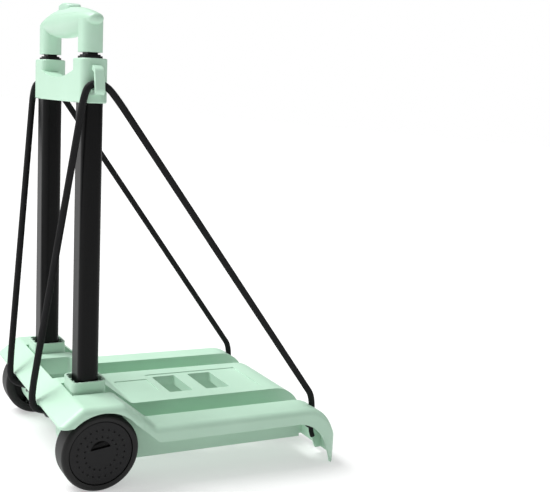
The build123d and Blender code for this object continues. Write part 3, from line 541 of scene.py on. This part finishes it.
# Polypropylene in its natural white, seen only inside the handle.
NATURAL = MouldedPlastic(
    "natural_polypropylene", "white_inner_plastic", "#e4e4de", 0.4,
    light="#ebebe6", edge_highlight="#f4f4f0",
)


# ---- meshes ----
def link(name: str, mesh: bpy.types.Mesh) -> bpy.types.Object:
    """Put a mesh into the scene as an object at the origin.

    Args:
        name: The object's name.
        mesh: Its mesh, already in place.

    Returns:
        The object.
    """
    made = bpy.data.objects.new(name, mesh)
    bpy.context.scene.collection.objects.link(made)
    return made


def smooth(mesh: bpy.types.Mesh, sharp_angle: float = 40.0) -> None:
    """Shade a mesh smoothly, with edges over an angle kept sharp.

    Args:
        mesh: The mesh.
        sharp_angle: That angle, in degrees.
    """
    mesh.polygons.foreach_set("use_smooth", [True] * len(mesh.polygons))
    mesh.set_sharp_from_angle(angle=math.radians(sharp_angle))


def swept(
    name: str, path: list[Vector], radius: Callable[[float], float], sides: int
) -> bpy.types.Mesh:
    """Sweep a closed round tube along a path, with its UV map in turns and metres.

    Args:
        name: The mesh's name.
        path: The points that it follows.
        radius: The tube's radius at a distance along the path.
        sides: How many faces go round it.

    Returns:
        The mesh, closed at both ends.
    """
    shape = bmesh.new()
    layer = shape.loops.layers.uv.new("UVMap")
    tangent = (path[1] - path[0]).normalized()
    normal = tangent.orthogonal().normalized()
    rings: list[list[bmesh.types.BMVert]] = []
    reach: list[float] = [0.0]
    for i, point in enumerate(path):
        before = path[max(i - 1, 0)]
        after = path[min(i + 1, len(path) - 1)]
        turned = (after - before).normalized()
        normal = (tangent.rotation_difference(turned) @ normal).normalized()
        tangent = turned
        across = tangent.cross(normal)
        if i:
            reach.append(reach[-1] + (point - path[i - 1]).length)
        wide = radius(reach[-1])
        ring = []
        for k in range(sides):
            angle = 2 * math.pi * k / sides
            outward = math.cos(angle) * normal + math.sin(angle) * across
            ring.append(shape.verts.new(point + wide * outward))
        rings.append(ring)
    for i in range(len(rings) - 1):
        for k in range(sides):
            j = (k + 1) % sides
            face = shape.faces.new((rings[i][k], rings[i][j], rings[i + 1][j], rings[i + 1][k]))
            turns = ((k, i), (k + 1, i), (k + 1, i + 1), (k, i + 1))
            for loop, (turn, step) in zip(face.loops, turns):
                loop[layer].uv = (turn / sides, reach[step])
    shape.faces.new(list(reversed(rings[0])))
    shape.faces.new(rings[-1])
    mesh = bpy.data.meshes.new(name)
    shape.to_mesh(mesh)
    shape.free()
    smooth(mesh, ROUND_ANGLE)
    return mesh


def settled_mesh(host: bpy.types.Object) -> bpy.types.Mesh:
    """Read an object's final mesh, with its curve or modifiers worked out.

    Args:
        host: The object.

    Returns:
        A plain copy of its mesh.
    """
    bpy.context.view_layer.update()
    final = host.evaluated_get(bpy.context.evaluated_depsgraph_get())
    return bpy.data.meshes.new_from_object(final)


def merged_copy(node: str) -> bpy.types.Mesh:
    """Copy a CAD node's mesh with its loose triangles joined.

    Args:
        node: The CAD node.

    Returns:
        The joined copy.
    """
    shape = bmesh.new()
    shape.from_mesh(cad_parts[node].data)
    bmesh.ops.remove_doubles(shape, verts=shape.verts, dist=JOIN_DISTANCE)
    bmesh.ops.dissolve_limit(
        shape, angle_limit=math.radians(FLAT_ANGLE), verts=shape.verts, edges=shape.edges
    )
    mesh = bpy.data.meshes.new(f"{node}_joined")
    shape.to_mesh(mesh)
    shape.free()
    return mesh


# ---- patterns ----
def new_pattern(name: str, sizes: dict[str, str]) -> tuple[bpy.types.NodeTree, bpy.types.Node]:
    """Start a geometry node tree with named inputs.

    Args:
        name: The tree's name.
        sizes: Each input's name with its kind, such as Float or Int.

    Returns:
        The tree and its input node.
    """
    tree = bpy.data.node_groups.new(name, "GeometryNodeTree")
    tree.interface.new_socket("Geometry", in_out="INPUT", socket_type="NodeSocketGeometry")
    for label, kind in sizes.items():
        tree.interface.new_socket(label, in_out="INPUT", socket_type=f"NodeSocket{kind}")
    tree.interface.new_socket("Material", in_out="INPUT", socket_type="NodeSocketMaterial")
    tree.interface.new_socket("Geometry", in_out="OUTPUT", socket_type="NodeSocketGeometry")
    return tree, add(tree, "NodeGroupInput")


def end_pattern(
    tree: bpy.types.NodeTree, given: bpy.types.Node, geometry: bpy.types.NodeSocket
) -> None:
    """End a tree by making its instances real and giving them their material.

    Args:
        tree: The tree.
        given: Its input node.
        geometry: What it has made.
    """
    real = add(tree, "GeometryNodeRealizeInstances", {"Geometry": geometry})
    coated = add(
        tree,
        "GeometryNodeSetMaterial",
        {"Geometry": real.outputs["Geometry"], "Material": given.outputs["Material"]},
    )
    add(tree, "NodeGroupOutput", {"Geometry": coated.outputs["Geometry"]})


def grow(
    name: str, seed: bpy.types.Mesh, tree: bpy.types.NodeTree, values: dict[str, object]
) -> bpy.types.Mesh:
    """Run a tree on a mesh and keep its result as a plain mesh.

    Args:
        name: The result's name.
        seed: The mesh that the tree starts from.
        tree: The tree.
        values: The value of each named input.

    Returns:
        The plain mesh.
    """
    host = link(f"{name}_seed", seed)
    modifier = host.modifiers.new("Pattern", "NODES")
    modifier.node_group = tree
    identifiers = {
        item.name: item.identifier
        for item in tree.interface.items_tree
        if item.item_type == "SOCKET" and item.in_out == "INPUT"
    }
    for label, value in values.items():
        modifier[identifiers[label]] = value
    mesh = settled_mesh(host)
    mesh.name = name
    host.modifiers.remove(modifier)
    bpy.data.objects.remove(host)
    return mesh


def dimple_tree() -> bpy.types.NodeTree:
    """Make the tree that sinks two rings of round dimples into a hub cap.

    Returns:
        The tree.
    """
    tree, given = new_pattern(
        "cap_dimples",
        {
            "Outer Count": "Int",
            "Outer Radius": "Float",
            "Inner Count": "Int",
            "Inner Radius": "Float",
            "Dimple Radius": "Float",
            "Face Centre": "Vector",
        },
    )
    ball = add(
        tree,
        "GeometryNodeMeshUVSphere",
        {"Segments": 10, "Rings": 6, "Radius": given.outputs["Dimple Radius"]},
    )
    rings = add(tree, "GeometryNodeJoinGeometry")
    for ring in ("Outer", "Inner"):
        circle = add(
            tree,
            "GeometryNodeMeshCircle",
            {"Vertices": given.outputs[f"{ring} Count"], "Radius": given.outputs[f"{ring} Radius"]},
        )
        tree.links.new(circle.outputs["Mesh"], rings.inputs["Geometry"])
    placed = add(
        tree,
        "GeometryNodeTransform",
        {
            "Geometry": rings.outputs["Geometry"],
            "Translation": given.outputs["Face Centre"],
            "Rotation": (0.0, math.radians(90), 0.0),
        },
    )
    balls = add(
        tree,
        "GeometryNodeInstanceOnPoints",
        {"Points": placed.outputs["Geometry"], "Instance": ball.outputs["Mesh"]},
    )
    real = add(tree, "GeometryNodeRealizeInstances", {"Geometry": balls.outputs["Instances"]})
    cut = add(tree, "GeometryNodeMeshBoolean", operation="DIFFERENCE", solver="EXACT")
    tree.links.new(given.outputs["Geometry"], cut.inputs["Mesh 1"])
    tree.links.new(real.outputs["Geometry"], cut.inputs["Mesh 2"])
    end_pattern(tree, given, cut.outputs["Mesh"])
    return tree


def winding_tree() -> bpy.types.NodeTree:
    """Make the tree that winds wire in close turns about Z.

    Returns:
        The tree.
    """
    tree, given = new_pattern(
        "wire_winding",
        {"Turns": "Float", "Winding Radius": "Float", "Length": "Float", "Wire Radius": "Float"},
    )
    spiral = add(
        tree,
        "GeometryNodeCurveSpiral",
        {
            "Resolution": 24,
            "Rotations": given.outputs["Turns"],
            "Start Radius": given.outputs["Winding Radius"],
            "End Radius": given.outputs["Winding Radius"],
            "Height": given.outputs["Length"],
        },
    )
    wire = add(
        tree,
        "GeometryNodeCurvePrimitiveCircle",
        {"Resolution": 8, "Radius": given.outputs["Wire Radius"]},
    )
    coil = add(
        tree,
        "GeometryNodeCurveToMesh",
        {
            "Curve": spiral.outputs["Curve"],
            "Profile Curve": wire.outputs["Curve"],
            "Fill Caps": True,
        },
    )
    end_pattern(tree, given, coil.outputs["Mesh"])
    return tree


def tooth_tree() -> bpy.types.NodeTree:
    """Make the tree that stands teeth round the inside of a rounded rectangle.

    Returns:
        The tree.
    """
    tree, given = new_pattern(
        "mouth_teeth",
        {"Width": "Float", "Depth": "Float", "Corner": "Float", "Count": "Int", "Tooth": "Vector"},
    )
    outline = add(
        tree,
        "GeometryNodeCurvePrimitiveQuadrilateral",
        {"Width": given.outputs["Width"], "Height": given.outputs["Depth"]},
    )
    rounded = add(
        tree,
        "GeometryNodeFilletCurve",
        {"Curve": outline.outputs["Curve"], "Radius": given.outputs["Corner"], "Count": 4},
        mode="POLY",
    )
    spots = add(
        tree,
        "GeometryNodeCurveToPoints",
        {"Curve": rounded.outputs["Curve"], "Count": given.outputs["Count"]},
        mode="COUNT",
    )
    tooth = add(tree, "GeometryNodeMeshCube", {"Size": given.outputs["Tooth"]})
    teeth = add(
        tree,
        "GeometryNodeInstanceOnPoints",
        {"Points": spots.outputs["Points"], "Instance": tooth.outputs["Mesh"]},
    )
    end_pattern(tree, given, teeth.outputs["Instances"])
    return tree


# ---- camera, floor and light ----
@dataclass
class Studio:
    """The camera, the pale floor and the soft lights round the trolley."""

    place: tuple[float, float, float] = (0.95954, -0.40202, 0.37317)
    turn: tuple[float, float, float] = (85.691, -5.403, 60.321)
    lens: float = 60.23
    sensor: float = 36.0
    nearest: float = 0.01
    shift: tuple[float, float] = (-0.0464, -0.1025)
    floor_size: float = 120.0
    floor_colour: str = "#c0c0c0"
    floor_glow: float = 0.45
    aim: tuple[float, float, float] = (0.0, 0.0, 0.2)
    key_from: tuple[float, float, float] = (-0.42, -0.55, 1.0)
    key_distance: float = 3.0
    key_power: float = 3.7
    key_spread: float = 40.0
    room_from: float = -0.1
    room_to: float = 0.9
    room_low: float = 0.05
    room_high: float = 0.62
    strip_place: tuple[float, float, float] = (0.3, -1.6, 0.7)
    strip_size: tuple[float, float] = (0.5, 1.4)
    strip_power: float = 1.0

    def build_camera(self) -> None:
        """Set up the camera and make it the scene's."""
        lens = bpy.data.cameras.new("camera")
        lens.lens = self.lens
        lens.sensor_width = self.sensor
        lens.sensor_fit = "HORIZONTAL"
        lens.shift_x, lens.shift_y = self.shift
        lens.clip_start = self.nearest
        camera = bpy.data.objects.new("camera", lens)
        camera.location = self.place
        camera.rotation_euler = Euler([math.radians(a) for a in self.turn], "XYZ")
        bpy.context.scene.collection.objects.link(camera)
        bpy.context.scene.camera = camera

    def build_floor(self) -> None:
        """Lay a pale matt floor under the trolley."""
        shape = bmesh.new()
        bmesh.ops.create_grid(shape, x_segments=2, y_segments=2, size=self.floor_size / 2)
        mesh = bpy.data.meshes.new("studio_floor")
        shape.to_mesh(mesh)
        shape.free()
        floor = link("studio_floor", mesh)
        paint = bpy.data.materials.new("white_floor_paint")
        paint.use_nodes = True
        shader = paint.node_tree.nodes["Principled BSDF"]
        # Light comes up through the floor too, as on a light table, so shadows stay pale.
        shader.inputs["Base Color"].default_value = linear(self.floor_colour)
        shader.inputs["Emission Color"].default_value = linear("#ffffff")
        shader.inputs["Emission Strength"].default_value = self.floor_glow
        shader.inputs["Roughness"].default_value = 0.9
        shader.inputs["Specular IOR Level"].default_value = 0.1
        mesh.materials.append(paint)

    def build_room(self) -> None:
        """Surround the trolley with a white room, brighter overhead, seen as plain white."""
        world = bpy.data.worlds.new("white_room")
        world.use_nodes = True
        tree = world.node_tree
        tree.nodes.clear()
        place = add(tree, "ShaderNodeTexCoord")
        split = add(tree, "ShaderNodeSeparateXYZ", {"Vector": place.outputs["Generated"]})
        overhead = add(
            tree,
            "ShaderNodeMapRange",
            {
                "Value": split.outputs["Z"],
                "From Min": self.room_from,
                "From Max": self.room_to,
                "To Min": self.room_low,
                "To Max": self.room_high,
            },
        )
        ray = add(tree, "ShaderNodeLightPath")
        seen = add(
            tree,
            "ShaderNodeMix",
            {0: ray.outputs["Is Camera Ray"], 2: overhead.outputs[0], 3: 1.0},
            data_type="FLOAT",
        )
        light = add(
            tree,
            "ShaderNodeBackground",
            {"Color": linear("#ffffff"), "Strength": seen.outputs[0]},
        )
        add(tree, "ShaderNodeOutputWorld", {"Surface": light.outputs["Background"]})
        bpy.context.scene.world = world
        bpy.context.scene.view_settings.view_transform = "Standard"

    def hang(self, lamp: bpy.types.Light, place: Vector) -> None:
        """Hang a lamp and aim it at the trolley.

        Args:
            lamp: The lamp.
            place: Where it hangs.
        """
        held = bpy.data.objects.new(lamp.name, lamp)
        held.location = place
        held.rotation_euler = (Vector(self.aim) - place).to_track_quat("-Z", "Y").to_euler()
        bpy.context.scene.collection.objects.link(held)

    def build_lamps(self) -> None:
        """Hang the wide key light and the tall strip that shines along the tubes."""
        key = bpy.data.lights.new("key", "SUN")
        key.energy = self.key_power
        key.angle = math.radians(self.key_spread)
        self.hang(key, self.key_distance * Vector(self.key_from))
        strip = bpy.data.lights.new("strip", "AREA")
        strip.shape = "RECTANGLE"
        strip.size, strip.size_y = self.strip_size
        strip.energy = self.strip_power
        self.hang(strip, Vector(self.strip_place))


# ---- cords ----
@dataclass
class ElasticCord:
    """One elastic cord: knotted under the deck, over the bracket's hook, bound to a wire hook."""

    side: Side
    diameter: float = 7.0 * MM
    length: float = 0.797
    sides: int = 16
    low: tuple[float, float, float] = (0.0, 0.0, 0.085)
    high: tuple[float, float, float] = (0.0, 0.0, 0.375)
    strand: float = 5.2 * MM
    knot_turns: int = 3
    knot_steps: int = 24
    knot_sides: int = 12
    knot_fill: float = 0.92
    knot_reach: float = 0.98
    knot_core: float = 0.55
    core_steps: int = 6
    draw_in: float = 0.85
    drawn: float = 0.8
    tail: float = 12.0 * MM
    tail_steps: int = 8
    tail_bend: float = 0.25
    wire: float = 2.2 * MM
    winding: float = 14.0 * MM
    binding_length: float = 22.0 * MM
    turns: float = 9.0
    end_steps: int = 10
    end_round: float = 3.0 * MM
    end_narrowest: float = 0.3
    route: list[tuple[float, float, float]] = field(
        default_factory=lambda: [
            (0.1090, 0.1318, 0.0499),
            (0.1090, 0.1315, 0.0689),
            (0.1086, 0.1196, 0.0837),
            (0.1009, -0.0931, 0.3482),
            (0.1000, -0.1194, 0.3809),
            (0.1000, -0.1300, 0.3895),
            (0.1000, -0.1420, 0.3893),
            (0.1000, -0.1483, 0.3816),
            (0.0932, -0.1504, 0.3402),
            (0.0568, -0.1616, 0.1201),
            (0.0500, -0.1637, 0.0787),
            (0.0495, -0.1627, 0.0637),
            (0.0475, -0.1570, 0.0566),
            (0.0440, -0.1455, 0.0538),
        ]
    )

    def points(self) -> list[Vector]:
        """The route's points on this cord's side."""
        return [Vector((self.side.value * x, y, z)) for x, y, z in self.route]

    def line(self) -> list[Vector]:
        """Draw the cord's smooth line and read it back.

        Returns:
            The line's points, from the knot to the binding.
        """
        curve = bpy.data.curves.new(f"cord_line_{self.side.word}", "CURVE")
        curve.dimensions = "3D"
        spline = curve.splines.new("NURBS")
        points = self.points()
        spline.points.add(len(points) - 1)
        for spot, point in zip(spline.points, points):
            spot.co = (*point, 1.0)
        spline.order_u = 3
        spline.use_endpoint_u = True
        spline.resolution_u = 48
        held = bpy.data.objects.new(curve.name, curve)
        bpy.context.scene.collection.objects.link(held)
        mesh = settled_mesh(held)
        path = [vertex.co.copy() for vertex in mesh.vertices]
        bpy.data.objects.remove(held)
        bpy.data.meshes.remove(mesh)
        return path

    def build_cord(self) -> bpy.types.Object:
        """Sweep the cord and give it the sheath's material.

        Returns:
            The cord.
        """
        path = self.line()
        mesh = swept(
            f"elastic_cord_{self.side.word}", path, lambda along: self.diameter / 2, self.sides
        )
        cord = link(mesh.name, mesh)
        mesh.materials.append(SHEATH.material())
        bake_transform(cord)
        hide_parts(f"cord_{self.side.word}")
        return cord

    def build_knot(self) -> bpy.types.Object:
        """Wind the stopper knot under the deck, with its short tail.

        Returns:
            The knot.
        """
        low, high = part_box(f"cord_knot_{self.side.word}")
        top = STANCE.deck.inverted() @ ((low + high) / 2)
        height = (high.z - low.z) * self.knot_fill
        wide = self.strand / 2
        turning = height - 2 * wide
        steps = self.knot_steps * self.knot_turns
        path = []
        for i in range(steps + 1):
            along = i / steps
            angle = 2 * math.pi * self.knot_turns * along
            # The last half turn draws in to the middle, where the tail comes out.
            inward = max(0.0, (along - self.draw_in) / (1 - self.draw_in))
            reach = (1.0 - self.drawn * inward) * self.strand * self.knot_reach
            rise = turning * (0.5 - along)
            path.append(top + Vector((reach * math.cos(angle), reach * math.sin(angle), rise)))
        last = path[-1]
        for i in range(1, self.tail_steps + 1):
            drop = self.tail * i / self.tail_steps
            path.append(last + Vector((0.0, self.tail_bend * drop * i / self.tail_steps, -drop)))
        path = [STANCE.deck @ point for point in path]
        mesh = swept(
            f"stopper_knot_{self.side.word}", path, lambda along: wide, self.knot_sides
        )
        rises = [turning * (0.5 - i / self.core_steps) for i in range(self.core_steps + 1)]
        core = swept(
            "knot_core",
            [STANCE.deck @ (top + Vector((0.0, 0.0, rise))) for rise in rises],
            lambda along: self.strand * self.knot_core,
            self.knot_sides,
        )
        shape = bmesh.new()
        shape.from_mesh(mesh)
        shape.from_mesh(core)
        shape.to_mesh(mesh)
        shape.free()
        smooth(mesh, ROUND_ANGLE)
        knot = link(mesh.name, mesh)
        mesh.materials.append(SHEATH.material())
        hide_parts(f"cord_knot_{self.side.word}")
        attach(knot, "base")
        return knot

    def binding_place(self) -> Matrix:
        """Find the binding's middle and direction.

        Returns:
            The matrix that puts a piece drawn along Z on the cord's end.
        """
        points = self.points()
        along = (points[-1] - points[-2]).normalized()
        low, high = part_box(f"hook_binding_{self.side.word}")
        turned = along.to_track_quat("Z", "Y").to_matrix().to_4x4()
        return Matrix.Translation((low + high) / 2) @ turned

    def build_binding(self, tree: bpy.types.NodeTree) -> bpy.types.Object:
        """Wind the wire round the cord's end.

        Args:
            tree: The tree that winds wire.

        Returns:
            The binding.
        """
        radius = self.winding / 2 - self.wire / 2
        length = self.binding_length - self.wire
        mesh = grow(
            f"wire_binding_{self.side.word}",
            bpy.data.meshes.new("binding_seed"),
            tree,
            {
                "Turns": self.turns,
                "Winding Radius": radius,
                "Length": length,
                "Wire Radius": self.wire / 2,
                "Material": WIRE.material(),
            },
        )
        mesh.transform(self.binding_place() @ Matrix.Translation((0, 0, -length / 2)))
        smooth(mesh, ROUND_ANGLE)
        binding = link(mesh.name, mesh)
        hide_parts(f"hook_binding_{self.side.word}")
        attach(binding, "base")
        return binding

    def build_bound_end(self) -> bpy.types.Object:
        """Fold the cord's end under its binding.

        Returns:
            The folded end.
        """
        place = self.binding_place()
        half = self.binding_length / 2
        inner = self.winding / 2 - self.wire
        path = [
            place @ Vector((0.0, 0.0, half * (i / self.end_steps - 1)))
            for i in range(2 * self.end_steps + 1)
        ]

        def radius(along: float) -> float:
            """Round the folded end off at both ends."""
            inside = min(along, 2 * half - along) / self.end_round
            return inner * math.sqrt(max(1 - (1 - min(inside, 1.0)) ** 2, self.end_narrowest))

        mesh = swept(f"bound_cord_end_{self.side.word}", path, radius, self.sides)
        end = link(mesh.name, mesh)
        mesh.materials.append(SHEATH.material())
        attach(end, "base")
        return end

    def build(self, tree: bpy.types.NodeTree) -> list[bpy.types.Object]:
        """Make the cord and the pieces on it.

        Args:
            tree: The tree that winds wire.

        Returns:
            The cord, its knot, its binding and its folded end.
        """
        knot = self.build_knot()
        binding = self.build_binding(tree)
        end = self.build_bound_end()
        cord = self.build_cord()
        return [cord, knot, binding, end]


# ---- wheels ----
@dataclass
class Wheel:
    """One wheel's dimpled hub cap, over the CAD's tyre and hub."""

    side: Side
    outer_count: int = 24
    outer_radius: float = 23.4 * MM
    inner_count: int = 18
    inner_radius: float = 16.1 * MM
    dimple: float = 1.2 * MM
    dimple_rise: float = 0.35 * MM
    turn: float = 8.0
    recess_from: float = 0.1 * MM
    recess_to: float = 2.6 * MM
    recess_reach: float = 13.5 * MM
    sharp_angle: float = 30.0

    def build(self, tree: bpy.types.NodeTree) -> bpy.types.Object:
        """Cut the dimples into a copy of the cap.

        Args:
            tree: The tree that sinks dimples.

        Returns:
            The hub cap.
        """
        node = f"hub_cap_{self.side.word}"
        low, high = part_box(node)
        outer_x = high.x if self.side is Side.RIGHT else low.x
        seed = merged_copy(node)
        centre = Vector((0.0, STANCE.axle.y, STANCE.axle.z))
        turned = (
            Matrix.Translation(centre)
            @ Matrix.Rotation(math.radians(self.turn), 4, "X")
            @ Matrix.Translation(-centre)
        )
        seed.transform(turned)
        mesh = grow(
            f"dimpled_cap_{self.side.word}",
            seed,
            tree,
            {
                "Outer Count": self.outer_count,
                "Outer Radius": self.outer_radius,
                "Inner Count": self.inner_count,
                "Inner Radius": self.inner_radius,
                "Dimple Radius": self.dimple,
                "Face Centre": (outer_x + self.side.value * self.dimple_rise, centre.y, centre.z),
                "Material": WHEEL_ABS.material(),
            },
        )
        mesh.materials.clear()
        mesh.materials.append(WHEEL_ABS.material())
        mesh.materials.append(WHEEL_RECESS_SHADED.material())
        # Faces sunk into the cap's middle, inside both rings of dimples, are the finger recess,
        # which takes the blacker material of painted shade.
        for face in mesh.polygons:
            sunk = abs(outer_x - face.center.x)
            off_centre = math.hypot(face.center.y - centre.y, face.center.z - centre.z)
            inside = self.recess_from < sunk < self.recess_to and off_centre < self.recess_reach
            face.material_index = int(inside)
        smooth(mesh, self.sharp_angle)
        cap = link(mesh.name, mesh)
        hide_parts(node)
        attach(cap, f"wheel_{self.side.word}")
        return cap


# ---- tube sockets ----
@dataclass
class SocketMouth:
    """The grip teeth that stand inside one socket's mouth, round the tube."""

    side: Side
    tube_x: float = 74.6 * MM
    width: float = 33.6 * MM
    depth: float = 29.2 * MM
    corner: float = 5.0 * MM
    count: int = 12
    tooth: tuple[float, float, float] = (2.2 * MM, 2.2 * MM, 9.0 * MM)
    top: float = 58.6 * MM

    def build(self, tree: bpy.types.NodeTree) -> bpy.types.Object:
        """Stand the teeth in the mouth.

        Args:
            tree: The tree that stands teeth round a rectangle.

        Returns:
            The teeth.
        """
        mesh = grow(
            f"mouth_teeth_{self.side.word}",
            bpy.data.meshes.new("teeth_seed"),
            tree,
            {
                "Width": self.width,
                "Depth": self.depth,
                "Corner": self.corner,
                "Count": self.count,
                "Tooth": self.tooth,
                "Material": MINT.material(),
            },
        )
        middle = Vector((self.side.value * self.tube_x, 0.0, self.top - self.tooth[2] / 2))
        mesh.transform(STANCE.mast @ Matrix.Translation(middle))
        teeth = link(mesh.name, mesh)
        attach(teeth, "mast")
        return teeth


# ---- CAD pieces ----
@dataclass
class FramePieces:
    """The CAD pieces whose shape is right already, with the finish of each."""

    finishes: dict[str, Finish] = field(
        default_factory=lambda: {
            "base_plate": MINT,
            "socket_": MINT,
            "bracket": MINT,
            "handle_grip": MINT,
            "handle_cap": MINT,
            "release_button": MINT_BUTTON,
            "outer_tube": TUBE_COAT,
            "middle_tube": TUBE_COAT,
            "inner_tube": TUBE_COAT,
            "outer_collar": GLIDE_NYLON,
            "middle_collar": GLIDE_NYLON,
            "middle_glide": GLIDE_NYLON,
            "inner_glide": GLIDE_NYLON,
            "tyre": TYRE,
            "wheel_hub": WHEEL_ABS,
            "hub_cap": WHEEL_ABS,
            "axle": ZINC,
            "socket_pins": ZINC,
            "handle_screws": ZINC,
            "push_rod": ZINC,
            "button_spring": ZINC,
            "release_yoke": NATURAL,
            "wire_hook": WIRE,
            "hook_binding": WIRE,
            "cord": SHEATH,
        }
    )

    def finish_of(self, node: str) -> Finish:
        """Choose a node's finish by the longest name that it starts with.

        Args:
            node: The CAD node.

        Returns:
            Its finish.
        """
        starts = [start for start in self.finishes if node.startswith(start)]
        return self.finishes[max(starts, key=len)]

    def dress(self) -> int:
        """Give every CAD node its material.

        Returns:
            How many nodes there are.
        """
        for name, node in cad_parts.items():
            material = self.finish_of(name).material()
            node.data.materials.clear()
            node.data.materials.append(material)
        return len(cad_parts)


def main() -> None:
    """Build the studio, then the trolley, one sub-assembly after another."""
    logging.basicConfig(level=logging.INFO, format="%(message)s")
    studio = Studio()
    studio.build_camera()
    winding = winding_tree()
    for side in Side:
        for piece in ElasticCord(side).build(winding):
            LOG.info("made %s", piece.name)
    studio.build_floor()
    studio.build_room()
    studio.build_lamps()
    dimples = dimple_tree()
    teeth = tooth_tree()
    for side in Side:
        LOG.info("made %s", Wheel(side).build(dimples).name)
        LOG.info("made %s", SocketMouth(side).build(teeth).name)
    LOG.info("dressed %d CAD nodes", FramePieces().dress())


if __name__ == "__main__":
    main()
